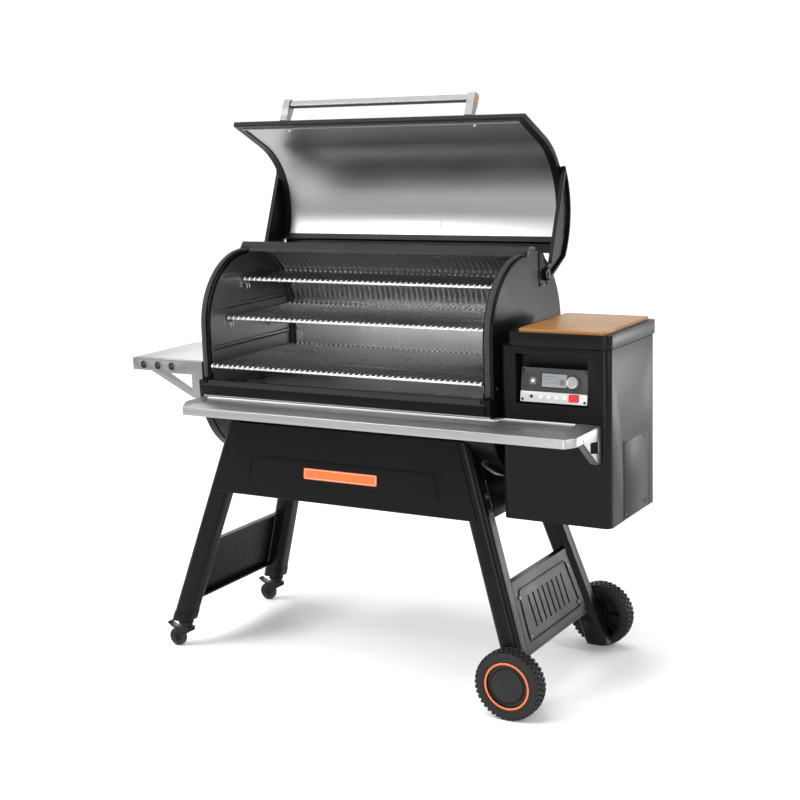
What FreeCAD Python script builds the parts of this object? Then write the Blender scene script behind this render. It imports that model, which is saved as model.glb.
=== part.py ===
import FreeCAD, Part
import math
import os
from FreeCAD import Vector

os.makedirs("parts", exist_ok=True)

# ---------------------------------------------------------------- driving sizes (mm)
# X runs from the side shelf (left) to the pellet hopper (right), Y from front to back, Z up.
# While it is drawn, x = 0 is the barrel's middle, y = 0 the grates' front and z = 0 the floor.
SHEET = 1.5                 # folded sheet steel
CLEAR = 0.4                 # gap around a turning piece

PLATE_OUT = 464.0           # outer face of each barrel end plate
PLATE_IN = 436.0            # inner face of each barrel end plate
MID_Y = 205.0               # middle of the barrel, front to back
UPPER_Z = 950.0             # centre of the barrel's upper arc
LOWER_Z = 784.0             # centre of the barrel's lower arc
SHELL_R = 226.0             # barrel outline at the back and bottom
RIM_R = 203.0               # end plate rim that the lid closes on
GASKET_R = 211.0            # outside of the rope gasket on that rim
LID_IN_R = 213.0
LID_OUT_R = 226.0
SILL_TOP = 806.0            # top of the strip under the lid's front edge
CREST_Y = 230.0             # where the fixed back of the barrel begins

LID_OPEN_DEG = 116.5        # stored open, this far from closed
PIVOT_Y = 318.5             # lid hinge axis
PIVOT_Z = 1093.0
PIN_R = 7.0
RUNNING_GAP = 0.08          # radial gap of a pin in its bearing
ARM_X0 = 466.8              # inner face of the arm outside each end of the lid
ARM_X1 = 478.5
ARM_R = 230.0               # the arm's back follows the lid at this radius

LEG_SIDE = 62.0             # leg tube, across its flats
LEG_WALL = 2.5
LEG_X = 420.0               # leg centre at the height LEG_Z
LEG_Z = 483.0
LEG_FRONT_Y = 6.0
LEG_BACK_Y = 378.0
LEAN_X = 0.326              # outward lean per mm of drop
LEAN_Y = 0.123              # splay to front and back per mm of drop

WHEEL_R = 93.0
WHEEL_WIDE = 48.0
WHEEL_X = 552.0
FRONT_WHEEL_Y = -137.0      # outer face of the front wheel
BACK_WHEEL_Y = 468.5        # inner face of the back wheel
AXLE_R = 8.0

CASTER_R = 27.0
CASTER_WIDE = 20.0
CASTER_TRAIL = 32.0
STEM_R = 6.0
LEFT_LEG_FOOT = 95.0        # height of the left legs' lower ends
RIGHT_LEG_FOOT = 36.0

SHELF_TOP = 761.0
SHELF_SKIRT = 24.0
SIDE_SHELF_TOP = 853.0
SIDE_SHELF_LEFT = -717.0
SIDE_SHELF_DEEP = 307.0

HOPPER_X0 = 484.0
HOPPER_X1 = 782.0
HOPPER_Y0 = 3.0
HOPPER_Y1 = 314.0
HOPPER_BOTTOM = 496.0
HOPPER_TOP = 947.0
HOPPER_CORNER = 19.0
HOPPER_LID_X0 = 503.0
HOPPER_LID_TOP = 984.0
HOPPER_HINGE_Y = 328.0
HOPPER_HINGE_Z = 950.0

GRATE_HALF = 432.0          # half of the 34 in rack width
BAR_WIDE = 4.6
BAR_THICK = 5.0
BAR_PITCH = 18.0
CROSS_R = 3.0
GRATES = {                  # name: front edge, back edge, height of the bars' top
    "bottom_grate": (0.0, 414.0, 848.5),
    "middle_grate": (89.0, 408.0, 974.5),
    "top_grate": (177.0, 372.0, 1077.0),
}

AUGER_Y = 205.0
AUGER_Z = 640.0
AUGER_R = 27.0
FIREPOT_X = 30.0
FIREPOT_R = 52.0

PANEL_X0 = 537.0            # controller front, in the hopper's recess
PANEL_WIDE = 183.0
PANEL_TALL = 87.5
PANEL_Y = 6.3
PANEL_Z = 806.6
PANEL_LEAN_DEG = 8.7
BUTTON_TRAVEL = 1.5
MENU_BUTTON_X = (58.0, 79.5, 101.0, 122.5)

X_AXIS = Vector(1, 0, 0)
Y_AXIS = Vector(0, 1, 0)
Z_AXIS = Vector(0, 0, 1)


# ---------------------------------------------------------------- shape helpers
def box(x0, x1, y0, y1, z0, z1):
    return Part.makeBox(x1 - x0, y1 - y0, z1 - z0, Vector(x0, y0, z0))


def rod(radius, start, end):
    start = Vector(*start)
    along = Vector(*end) - start
    return Part.makeCylinder(radius, along.Length, start, along)


def pipe(outer, inner, start, end):
    return rod(outer, start, end).cut(rod(inner, start, end))


def face_from(points):
    """Face from 3-D points; an item (middle, end) is an arc through middle."""
    here = points[0]
    edges = []
    for item in points[1:] + [points[0]]:
        if isinstance(item, tuple):
            edges.append(Part.Arc(here, item[0], item[1]).toShape())
            here = item[1]
        elif item.distanceToPoint(here) > 1e-6:
            edges.append(Part.makeLine(here, item))
            here = item
    return Part.Face(Part.Wire(edges))


def side_prism(points, x0, x1):
    """Extrude a (y, z) outline from x0 to x1; an item of four numbers is an arc."""
    outline = []
    for item in points:
        if len(item) == 2:
            outline.append(Vector(x0, item[0], item[1]))
        else:
            outline.append((Vector(x0, item[0], item[1]), Vector(x0, item[2], item[3])))
    return face_from(outline).extrude(Vector(x1 - x0, 0, 0))


def front_prism(points, y0, y1):
    """Extrude an (x, z) outline from y0 to y1."""
    return face_from([Vector(x, y0, z) for x, z in points]).extrude(Vector(0, y1 - y0, 0))


def flat_prism(points, z0, z1):
    """Extrude an (x, y) outline from z0 to z1."""
    return face_from([Vector(x, y, z0) for x, y in points]).extrude(Vector(0, 0, z1 - z0))


def rounded_box(x0, x1, y0, y1, z0, z1, radius, axis=Z_AXIS):
    """Box whose four edges along one axis are rounded."""
    shape = box(x0, x1, y0, y1, z0, z1)
    edges = [e for e in shape.Edges if abs(e.tangentAt(e.FirstParameter).dot(axis)) > 0.99]
    return shape.makeFillet(radius, edges)


def polar(radius, degrees, centre_z=UPPER_Z):
    """Point of the barrel's section; 0 degrees is the front, 90 the top."""
    angle = math.radians(degrees)
    return (MID_Y - radius * math.cos(angle), centre_z + radius * math.sin(angle))


def mirror_x(shape):
    return shape.mirror(Vector(0, 0, 0), X_AXIS)


def pair(shape):
    """A piece and its mirror image on the other side of the barrel."""
    return [shape, mirror_x(shape)]


def opened(shape):
    """Turn a lid piece from closed to its stored open position."""
    return shape.rotated(Vector(0, PIVOT_Y, PIVOT_Z), X_AXIS, -LID_OPEN_DEG)


def hex_bolt(point, direction, radius=6.0, head=4.5):
    point = Vector(*point)
    direction = Vector(*direction).normalize()
    ring = Part.makeCylinder(radius * 1.25, 1.2, point, direction)
    dome = Part.makeCylinder(radius, head, point, direction)
    rim = [e for e in dome.Edges if isinstance(e.Curve, Part.Circle)
           and (e.Curve.Center - point).dot(direction) > head / 2]
    return ring.fuse(dome.makeFillet(head * 0.45, rim))


def node(name, *shapes):
    NODES[name] = [s for s in shapes]


NODES = {}


# ---------------------------------------------------------------- barrel
def plate_outline(inset):
    """End plate outline, drawn inwards by inset."""
    rim = RIM_R - inset
    shell = SHELL_R - inset
    crest = UPPER_Z + math.sqrt(shell ** 2 - (CREST_Y - MID_Y) ** 2)
    return [
        (MID_Y - rim, SILL_TOP - inset),
        (MID_Y - rim, UPPER_Z),
        polar(rim, 45) + polar(rim, 90),
        (MID_Y + 3, UPPER_Z + rim),
        (CREST_Y, crest),
        polar(shell, 140) + polar(shell, 180),
        (MID_Y + shell, LOWER_Z),
        polar(shell, 225, LOWER_Z) + polar(shell, 270, LOWER_Z),
        polar(shell, 315, LOWER_Z) + polar(shell, 360, LOWER_Z),
        (MID_Y - shell, SILL_TOP - inset),
    ]


def shell_band(outer, inner, top_z):
    """Sheet that runs from the front, under the barrel and up its back."""
    start = 90 + math.degrees(math.asin((CREST_Y + 3 - MID_Y) / outer))
    middle = (start + 180) / 2
    return side_prism([
        (MID_Y - outer, top_z),
        (MID_Y - outer, LOWER_Z),
        polar(outer, -45, LOWER_Z) + polar(outer, -90, LOWER_Z),
        polar(outer, -135, LOWER_Z) + polar(outer, -180, LOWER_Z),
        (MID_Y + outer, UPPER_Z),
        polar(outer, middle) + polar(outer, start),
        polar(inner, start),
        polar(inner, middle) + polar(inner, 180),
        (MID_Y + inner, LOWER_Z),
        polar(inner, -135, LOWER_Z) + polar(inner, -90, LOWER_Z),
        polar(inner, -45, LOWER_Z) + polar(inner, 0, LOWER_Z),
        (MID_Y - inner, top_z),
    ], -PLATE_IN, PLATE_IN)


def envelope(radius, half):
    """The barrel's outer volume, for trimming what stands against it."""
    return side_prism([
        polar(radius, 0, LOWER_Z),
        (MID_Y - radius, UPPER_Z),
        polar(radius, 90) + polar(radius, 180),
        (MID_Y + radius, LOWER_Z),
        polar(radius, -90, LOWER_Z) + polar(radius, 0, LOWER_Z),
    ], -half, half)


def make_barrel():
    auger_hole = rod(33.0, (PLATE_IN - 5, AUGER_Y, AUGER_Z), (PLATE_OUT + 5, AUGER_Y, AUGER_Z))
    pocket = side_prism(plate_outline(2.5), PLATE_IN - 1, PLATE_OUT - 2.0)
    pin_boss = rod(16.0, (PLATE_IN + 2, PIVOT_Y, PIVOT_Z), (PLATE_OUT - 2.0, PIVOT_Y, PIVOT_Z))
    plate = side_prism(plate_outline(0), PLATE_IN, PLATE_OUT).cut(pocket).fuse(pin_boss)
    pin_hole = rod(PIN_R, (PLATE_IN + 8, PIVOT_Y, PIVOT_Z), (PLATE_OUT + 1, PIVOT_Y, PIVOT_Z))
    plate = plate.cut(pin_hole)
    node("end_plates", plate.cut(auger_hole), mirror_x(plate))

    liner_plate = side_prism(plate_outline(12), PLATE_IN - 1.2, PLATE_IN)
    liner_front = box(PLATE_IN - 2, PLATE_IN + 1, -60, MID_Y - RIM_R + 12, 500, SILL_TOP)
    liner_plate = liner_plate.cut(liner_front)
    ribs = [side_prism([(60, z - 4), (60, z), (350, z), (350, z - 4)], PLATE_IN - 4, PLATE_IN - 1.2)
            for z in (905.0, 1020.0)]
    liner_plate = liner_plate.fuse(ribs[0]).fuse(ribs[1])
    node("chamber_liner", shell_band(217.0, 215.8, 792.0), liner_plate.cut(auger_hole),
         mirror_x(liner_plate))

    rail = side_prism([(205.4, 1154.6), (228.4, 1177.6), (264, 1171.2), (264, 1168.7),
                       (230.2, 1175.1), (207.2, 1153.3)], -PLATE_OUT - 2, PLATE_OUT + 2)
    seat = side_prism(plate_outline(-0.1), PLATE_IN - 0.1, PLATE_OUT + 0.1)
    rail = rail.cut(seat).cut(mirror_x(seat))
    node("barrel_shell", shell_band(223.5, 222.0, LOWER_Z + 2), rail)

    gasket = side_prism([
        (MID_Y - GASKET_R, SILL_TOP + 4),
        (MID_Y - GASKET_R, UPPER_Z),
        polar(GASKET_R, 45) + polar(GASKET_R, 89),
        polar(RIM_R + 0.2, 89),
        polar(RIM_R + 0.2, 45) + polar(RIM_R + 0.2, 0),
        (MID_Y - RIM_R - 0.2, SILL_TOP + 4),
    ], PLATE_IN + 6, PLATE_OUT - 6)
    node("rim_gaskets", *pair(gasket))

    slot_pitch = 17.0
    vent = side_prism([(MID_Y + 34, 1158), (MID_Y + 92, 1128), (MID_Y + 138, 1088),
                       (MID_Y + 136.8, 1087), (MID_Y + 91, 1126.8), (MID_Y + 33.4, 1156.8)],
                      -PLATE_IN + 4, PLATE_IN - 4)
    slots = []
    for i in range(-24, 25):
        x = i * slot_pitch
        slots.append(side_prism([(MID_Y + 48, 1165), (MID_Y + 92, 1142), (MID_Y + 78, 1120),
                                 (MID_Y + 34, 1143)], x - 2.5, x + 2.5))
    node("back_vent_panel", vent.cut(Part.makeCompound(slots)))

    sill = box(-452, 452, -24, 1.5, 764, SILL_TOP)
    sill = sill.cut(box(-450.5, 450.5, -22.5, 2, 765.5, SILL_TOP - 1.5))
    sill = sill.cut(box(-PLATE_IN, PLATE_IN, -19, 2, 763, SILL_TOP - 1.6))
    for side in (-1, 1):
        sill = sill.cut(box(min(side * 435.5, side * 470), max(side * 435.5, side * 470),
                            -21.3, 3, 760, SILL_TOP + 1))
    node("front_sill", sill)


# ---------------------------------------------------------------- shelves
def gusset():
    """Triangular bracket under the right end of the front shelf."""
    web = side_prism([(-132, 759), (1.5, 759), (1.5, 665), (-18, 665)], 755.5, 757.5)
    web = web.cut(side_prism([(-63, 730), (-10, 724), (-10, 692), (-63, 703)], 755, 758))
    flange = side_prism([(-132, 757), (-18, 665), (1.5, 665), (1.5, 667), (-17, 667),
                         (-130, 759)], 741, 757.5)
    return web.fuse(flange)


def make_shelves():
    outline = [(-403, -179), (741, -179), (759, -150), (759, -9), (737, 2), (476, 2),
               (468, -25), (-445, -25), (-445, -112)]
    inner = [(-401, -177.5), (740, -177.5), (757.5, -149), (757.5, -10), (736, 0.5), (477, 0.5),
             (469, -26.5), (-443.5, -26.5), (-443.5, -111)]
    recess = [(-398, -98), (699, -98), (699, -6), (494, -6), (484, -32), (-430, -32)]
    under_recess = [(-400, -100), (701, -100), (701, -4), (492.5, -4), (482.5, -30), (-432, -30)]
    top = flat_prism(outline, SHELF_TOP - SHELF_SKIRT, SHELF_TOP)
    top = top.cut(flat_prism(inner, SHELF_TOP - SHELF_SKIRT - 1, SHELF_TOP - SHEET))
    top = top.fuse(flat_prism(under_recess, SHELF_TOP - 5.5, SHELF_TOP - SHEET))
    top = top.cut(flat_prism(recess, SHELF_TOP - 4.0, SHELF_TOP + 1))
    node("front_shelf", top, gusset())

    x0, x1, top_z = SIDE_SHELF_LEFT, -PLATE_OUT, SIDE_SHELF_TOP
    back_y = -2 + SIDE_SHELF_DEEP
    web = [(x0, top_z - SHEET), (x1, top_z - SHEET), (x1, 746), (-500, 746), (-649, 818), (x0, 818)]
    front = front_prism(web, -2, -2 + SHEET)
    front = front.cut(front_prism([(-579, 814), (-503, 814), (-503, 774)], -5, 5))
    shelf = box(x0, x1, -2, back_y, top_z - SHEET, top_z).fuse(front)
    rear = front_prism(web, back_y - SHEET, back_y)
    shelf = shelf.fuse(rear.cut(front_prism([(-579, 814), (-503, 814), (-503, 774)], 290, 310)))
    shelf = shelf.fuse(box(x0, x0 + SHEET, -2, back_y, 818, top_z))
    for y0, y1 in ((-2, 24), (back_y - 26, back_y)):
        shelf = shelf.fuse(box(x1 - 2, x1, y0, y1, 746, top_z - SHEET))
    for x in (-677, -625, -574):
        shelf = shelf.cut(rod(12.0, (x, -6, 834), (x, 4, 834)))
    node("side_shelf", shelf)


# ---------------------------------------------------------------- legs and skirts
def leg_centre(side, front, z):
    drop = LEG_Z - z
    y = LEG_FRONT_Y - LEAN_Y * drop if front else LEG_BACK_Y + LEAN_Y * drop
    return Vector(side * (LEG_X + LEAN_X * drop), y, z)


def leaning_tube(side, front, z0, z1, width, radius):
    """Rounded square tube along a leg's line, cut level at both ends."""
    low = leg_centre(side, front, z0)
    high = leg_centre(side, front, z1)
    half = width / 2
    section = rounded_box(low.x - half, low.x + half, low.y - half, low.y + half, z0, z0 + 1, radius)
    base = [f for f in section.Faces if f.CenterOfMass.z < z0 + 0.1][0]
    return base.extrude(high - low)


def leg(side, front, foot):
    outer = leaning_tube(side, front, foot, 700, LEG_SIDE, 20)
    inner = leaning_tube(side, front, foot - 1, 701, LEG_SIDE - 2 * LEG_WALL, 20 - LEG_WALL)
    return outer.cut(inner).cut(envelope(SHELL_R + 0.5, 500))


def leaning_panel(side, z0, z1, front_y, back_y, offset, thick):
    """Panel between one side's legs, in their leaning plane; it widens downwards as they splay."""
    low = side * (LEG_X + LEAN_X * (LEG_Z - z0) + offset)
    high = side * (LEG_X + LEAN_X * (LEG_Z - z1) + offset)
    splay = LEAN_Y * (z1 - z0)
    outline = [Vector(low, front_y - splay, z0), Vector(low, back_y + splay, z0),
               Vector(high, back_y, z1), Vector(high, front_y, z1)]
    return face_from(outline).extrude(Vector(-side * thick, 0, 0))


def brace(side):
    """Pan-shaped brace between the legs, its rim folded inwards."""
    z0, z1, front_y, back_y = 130.0, 314.0, 16.7, 367.3
    panel = leaning_panel(side, z0, z1, front_y, back_y, 20, 30)
    hollow = leaning_panel(side, z0 + 2, z1 - 2, front_y + 2, back_y - 2, 18.4, 40)
    field = leaning_panel(side, z0 + 32, z1 - 32, front_y + 42, back_y - 42, 21.4, 1.8)
    return panel.cut(hollow).fuse(field)


def make_base():
    node("legs_left", *[leg(-1, front, LEFT_LEG_FOOT) for front in (True, False)])
    axle_hole = rod(AXLE_R + RUNNING_GAP, (WHEEL_X, -100, WHEEL_R), (WHEEL_X, 600, WHEEL_R))
    node("legs_right", *[leg(1, front, RIGHT_LEG_FOOT).cut(axle_hole) for front in (True, False)])

    caps = []
    for side, foot in ((-1, LEFT_LEG_FOOT), (1, RIGHT_LEG_FOOT)):
        for front in (True, False):
            cap = leaning_tube(side, front, foot - 8, foot + 16, LEG_SIDE + 3, 21)
            bore = leaning_tube(side, front, foot, foot + 20, LEG_SIDE + 0.2, 20)
            cap = cap.cut(bore)
            if side < 0:
                centre = leg_centre(side, front, foot)
                stem_hole = rod(STEM_R + RUNNING_GAP, (centre.x, centre.y, foot - 20),
                                (centre.x, centre.y, foot + 5))
                cap = cap.cut(stem_hole)
            caps.append(cap)
    node("leg_caps", *caps)
    node("leg_braces", brace(-1), brace(1))

    lean = LEAN_Y
    front_z = 686.0
    half_low, half_high = LEG_X + 1, LEG_X + 1 - LEAN_X * (front_z - LEG_Z)
    low_y = LEG_FRONT_Y - LEG_SIDE / 2 - 0.3
    high_y = low_y + lean * (front_z - LEG_Z)
    sheet = face_from([Vector(-half_low, low_y, LEG_Z), Vector(half_low, low_y, LEG_Z),
                       Vector(half_high, high_y, front_z), Vector(-half_high, high_y, front_z)])
    apron = sheet.extrude(Vector(0, -2, 0)).cut(envelope(SHELL_R + 0.5, 500))
    lip = box(-half_low + 70, half_low - 70, low_y, low_y + 16, LEG_Z, LEG_Z + 1.6)
    apron = apron.fuse(lip)
    frame_low, frame_high = 528.0, 596.0

    def field_at(z):
        return low_y - 2 + lean * (z - LEG_Z)

    panel = face_from([Vector(-307, field_at(frame_low) - 2.5, frame_low),
                       Vector(307, field_at(frame_low) - 2.5, frame_low),
                       Vector(293, field_at(frame_high) - 2.5, frame_high),
                       Vector(-293, field_at(frame_high) - 2.5, frame_high)])
    apron = apron.fuse(panel.extrude(Vector(0, 3.0, 0)))
    badge = face_from([Vector(-118, field_at(547) - 4.7, 547), Vector(118, field_at(547) - 4.7, 547),
                       Vector(118, field_at(578) - 4.7, 578), Vector(-118, field_at(578) - 4.7, 578)])
    node("front_apron", apron, badge.extrude(Vector(0, 2.0, 0)))

    trim = envelope(SHELL_R + 0.5, 500)
    skirts = [leaning_panel(side, LEG_Z, 640, 56.8, 327.2, 24, 2).cut(trim) for side in (-1, 1)]
    back_y = LEG_BACK_Y + LEG_SIDE / 2 + 0.3
    back = face_from([Vector(-half_low, back_y, LEG_Z), Vector(half_low, back_y, LEG_Z),
                      Vector(half_high, back_y - lean * (front_z - LEG_Z), front_z),
                      Vector(-half_high, back_y - lean * (front_z - LEG_Z), front_z)])
    skirts.append(back.extrude(Vector(0, 2, 0)).cut(trim))
    node("skirt_panels", *skirts)


# ---------------------------------------------------------------- wheels and casters
def tyre(y0):
    """Tyre with a rounded crown and two rows of tread blocks."""
    y1 = y0 + WHEEL_WIDE
    crown = WHEEL_R - 4
    section = [Vector(0, y0, 70), Vector(0, y0, crown - 8),
               (Vector(0, y0 + 3, crown - 2), Vector(0, y0 + 10, crown)),
               Vector(0, y1 - 10, crown),
               (Vector(0, y1 - 3, crown - 2), Vector(0, y1, crown - 8)), Vector(0, y1, 70)]
    ring = face_from(section).revolve(Vector(0, 0, 0), Y_AXIS, 360)
    blocks = []
    count = 30
    for i in range(count):
        for row, shift in ((0, 0.0), (1, 0.5)):
            angle = 360.0 * (i + shift) / count
            start = y0 + 3 if row == 0 else y0 + WHEEL_WIDE / 2 + 1.5
            block = box(-5.5, 5.5, start, start + WHEEL_WIDE / 2 - 4.5, crown - 4, WHEEL_R)
            blocks.append(block.rotated(Vector(0, 0, 0), Y_AXIS, angle))
    ring = ring.fuse(blocks)
    limit = rod(WHEEL_R, (0, y0 - 1, 0), (0, y1 + 1, 0))
    return ring.common(limit).translated(Vector(WHEEL_X, 0, WHEEL_R))


def hub(y0, face_side):
    """Dished wheel disc; face_side is -1 when the outer face looks to the front."""
    y1 = y0 + WHEEL_WIDE
    outer = y0 if face_side < 0 else y1
    inward = -face_side

    def at(depth):
        return outer + inward * depth

    section = [Vector(0, at(2), 70.0), Vector(0, at(3), 62), Vector(0, at(9), 58),
               Vector(0, at(9), 50), Vector(0, at(4), 44), Vector(0, at(4), AXLE_R + RUNNING_GAP),
               Vector(0, at(44), AXLE_R + RUNNING_GAP), Vector(0, at(44), 18), Vector(0, at(16), 20),
               Vector(0, at(14), 62), Vector(0, at(44), 64), Vector(0, at(44), 70.0)]
    disc = face_from(section).revolve(Vector(0, 0, 0), Y_AXIS, 360)
    webs = []
    for i in range(8):
        web = box(-1.5, 1.5, min(at(10), at(36)), max(at(10), at(36)), 16, 66)
        webs.append(web.rotated(Vector(0, 0, 0), Y_AXIS, 45.0 * i))
    return disc.fuse(webs).translated(Vector(WHEEL_X, 0, WHEEL_R))


def make_wheels():
    for name, y0, face_side in (("front", FRONT_WHEEL_Y, -1), ("back", BACK_WHEEL_Y, 1)):
        node(name + "_tyre", tyre(y0))
        node(name + "_wheel_hub", hub(y0, face_side))
    front_leg = leg_centre(1, True, WHEEL_R).y
    back_leg = leg_centre(1, False, WHEEL_R).y
    stubs = []
    for outer_end, leg_y, collar_y, face in (
            (FRONT_WHEEL_Y + 5.5, front_leg, FRONT_WHEEL_Y + WHEEL_WIDE + 0.8, 1),
            (BACK_WHEEL_Y + WHEEL_WIDE - 5.5, back_leg, BACK_WHEEL_Y - 0.8, -1)):
        inside = leg_y + face * (LEG_SIDE / 2 + 1.8)
        collar_end = leg_y - face * (LEG_SIDE / 2 + 6.5)
        stub = rod(AXLE_R, (WHEEL_X, outer_end, WHEEL_R), (WHEEL_X, inside + face * 13, WHEEL_R))
        stub = stub.fuse(rod(13.0, (WHEEL_X, inside, WHEEL_R), (WHEEL_X, inside + face * 8, WHEEL_R)))
        if (collar_end - collar_y) * face > 1:
            stub = stub.fuse(rod(13.0, (WHEEL_X, collar_y, WHEEL_R),
                                 (WHEEL_X, collar_end, WHEEL_R)))
        stubs.append(stub)
    node("wheel_axle", *stubs)

    for name, front in (("front", True), ("back", False)):
        foot = leg_centre(-1, front, LEFT_LEG_FOOT)
        x, y = foot.x, foot.y
        wheel_x = x - CASTER_TRAIL
        cheek = front_prism([(x + 20, 62), (x - 22, 62), (wheel_x - 9, 26), (wheel_x - 6, 18),
                             (wheel_x + 6, 18), (wheel_x + 12, 28), (x + 20, 50)], 0, 2.5)
        fork = box(x - 22, x + 20, y - 14.5, y + 14.5, 60, 63)
        fork = fork.fuse([cheek.translated(Vector(0, y - 14.5, 0)),
                          cheek.translated(Vector(0, y + 12, 0)),
                          rod(19.0, (x, y, 63), (x, y, 74)), rod(22.5, (x, y, 74), (x, y, 80)),
                          rod(STEM_R, (x, y, 80), (x, y, 108)),
                          rod(1.5, (x - 20, y - 14, 57), (x - 20, y + 14, 57)),
                          rod(4.0, (wheel_x, y - 17, CASTER_R), (wheel_x, y + 17, CASTER_R)),
                          rod(6.5, (wheel_x, y - 17.5, CASTER_R), (wheel_x, y - 14.4, CASTER_R)),
                          rod(6.5, (wheel_x, y + 14.4, CASTER_R), (wheel_x, y + 17.5, CASTER_R))])
        node(name + "_caster_fork", fork)
        half = CASTER_WIDE / 2
        section = [Vector(0, -half, 4 + RUNNING_GAP), Vector(0, -half, 9), Vector(0, -half + 3, 11),
                   Vector(0, -half + 3, 18), Vector(0, -half, 20), Vector(0, -half, CASTER_R - 4),
                   (Vector(0, -half + 1.2, CASTER_R - 1.2), Vector(0, -half + 4, CASTER_R)),
                   Vector(0, half - 4, CASTER_R),
                   (Vector(0, half - 1.2, CASTER_R - 1.2), Vector(0, half, CASTER_R - 4)),
                   Vector(0, half, 20), Vector(0, half - 3, 18), Vector(0, half - 3, 11),
                   Vector(0, half, 9), Vector(0, half, 4 + RUNNING_GAP)]
        roller = face_from(section).revolve(Vector(0, 0, 0), Y_AXIS, 360)
        node(name + "_caster_wheel", roller.translated(Vector(wheel_x, y, CASTER_R)))
        hinge_x, hinge_z = x - 20, 57.0
        tab = front_prism([(hinge_x + 2, 54), (hinge_x + 2, 59), (x - 40, 60), (x - 54, 66),
                           (x - 61, 71), (x - 63, 69), (x - 55, 62.8), (x - 44, 55.6),
                           (x - 34, 54.4)], y - 11, y + 11)
        tab = tab.fuse(rod(2.8, (hinge_x, y - 11, hinge_z), (hinge_x, y + 11, hinge_z)))
        tab = tab.cut(rod(1.5 + RUNNING_GAP, (hinge_x, y - 20, hinge_z), (hinge_x, y + 20, hinge_z)))
        node(name + "_caster_brake", tab)


# ---------------------------------------------------------------- inside the barrel
def make_firebox():
    tray = box(-426, 426, 18, 396, 0, 14).cut(box(-424.5, 424.5, 19.5, 394.5, 1.5, 20))
    tray = tray.cut(box(-418, -398, 180, 230, -1, 3))
    tray = tray.rotated(Vector(0, 0, 0), Y_AXIS, -1.6).translated(Vector(0, 0, 786))
    node("drip_tray", tray)
    baffle = side_prism([(70, 728), (110, 742), (300, 742), (340, 728), (341, 729.5), (301, 744),
                         (109, 744), (69, 729.5)], -230, 250)
    node("heat_baffle", baffle)

    pot = pipe(FIREPOT_R, FIREPOT_R - 3, (FIREPOT_X, AUGER_Y, 602), (FIREPOT_X, AUGER_Y, 694))
    floor = rod(FIREPOT_R, (FIREPOT_X, AUGER_Y, 602), (FIREPOT_X, AUGER_Y, 605))
    pot = pot.fuse(floor)
    pot = pot.cut(rod(AUGER_R + 5.5, (FIREPOT_X, AUGER_Y, AUGER_Z), (200, AUGER_Y, AUGER_Z)))
    vents = []
    for i in range(12):
        spin = rod(3.0, (0, 0, 618), (0, FIREPOT_R + 5, 618)).rotated(
            Vector(0, 0, 0), Z_AXIS, 30.0 * i + 15)
        vents.append(spin.translated(Vector(FIREPOT_X, AUGER_Y, 0)))
    pot = pot.cut(rod(4.0, (FIREPOT_X - 46, AUGER_Y, 612), (FIREPOT_X - 80, AUGER_Y, 612)))
    node("firepot", pot.cut(Part.makeCompound(vents)))
    node("igniter", rod(5.0, (FIREPOT_X - 18, AUGER_Y, 612), (FIREPOT_X - 46, AUGER_Y, 612)).fuse(
        rod(4.0, (FIREPOT_X - 46, AUGER_Y, 612), (FIREPOT_X - FIREPOT_R - 40, AUGER_Y, 612))))

    tube = pipe(AUGER_R + 5, AUGER_R + 3, (78, AUGER_Y, AUGER_Z), (688, AUGER_Y, AUGER_Z))
    inlet = box(535, 655, AUGER_Y - 24, AUGER_Y + 24, AUGER_Z + 5, AUGER_Z + 40)
    node("auger_tube", tube.cut(inlet))
    shaft = rod(8.0, (84, AUGER_Y, AUGER_Z), (687, AUGER_Y, AUGER_Z))
    flights = []
    pitch = 45.0
    for i in range(13):
        disc = pipe(AUGER_R, 7.0, (0, 0, -1.5), (0, 0, 1.5))
        disc = disc.rotated(Vector(0, 0, 0), Y_AXIS, 90).rotated(Vector(0, 0, 0), Z_AXIS, 18)
        turned = disc.rotated(Vector(0, 0, 0), X_AXIS, 90.0 * i)
        flights.append(turned.translated(Vector(110 + i * pitch, AUGER_Y, AUGER_Z)))
    node("auger_screw", shaft.fuse(flights))
    motor = rounded_box(693, 752, AUGER_Y - 38, AUGER_Y + 38, AUGER_Z - 38, AUGER_Z + 38, 8, X_AXIS)
    motor = motor.fuse(rod(28.0, (752, AUGER_Y, AUGER_Z), (776, AUGER_Y, AUGER_Z)))
    node("auger_motor", motor)

    fan_x, fan_z, fan_y = 620.0, 558.0, 96.0
    drum = rod(60.0, (fan_x, fan_y, fan_z), (fan_x, fan_y + 48, fan_z))
    duct = box(490, fan_x, fan_y, fan_y + 48, fan_z + 10, fan_z + 60)
    drum = drum.fuse(duct)
    core = rod(57.5, (fan_x, fan_y + 2, fan_z), (fan_x, fan_y + 46, fan_z))
    core = core.fuse(box(480, fan_x, fan_y + 2, fan_y + 46, fan_z + 12, fan_z + 57.5))
    eye = rod(30.0, (fan_x, fan_y - 1, fan_z), (fan_x, fan_y + 3, fan_z))
    node("fan_housing", drum.cut(core).cut(eye))
    wheel = rod(50.0, (fan_x, fan_y + 40, fan_z), (fan_x, fan_y + 42, fan_z))
    wheel = wheel.fuse(rod(12.0, (fan_x, fan_y + 20, fan_z), (fan_x, fan_y + 42, fan_z)))
    blades = []
    for i in range(20):
        blade = box(-1.0, 1.0, fan_y + 8, fan_y + 41, 38, 49)
        blade = blade.rotated(Vector(0, 0, 43), Y_AXIS, 25).rotated(Vector(0, 0, 0), Y_AXIS, 18.0 * i)
        blades.append(blade.translated(Vector(fan_x, 0, fan_z)))
    node("fan_impeller", wheel.fuse(blades))

    probe = rod(3.0, (-PLATE_IN + 3.5, 300, 930), (-PLATE_IN + 60, 300, 930))
    node("temperature_probe", probe.fuse(rod(8.0, (-PLATE_IN + 1.4, 300, 930),
                                             (-PLATE_IN + 7, 300, 930))))


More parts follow.
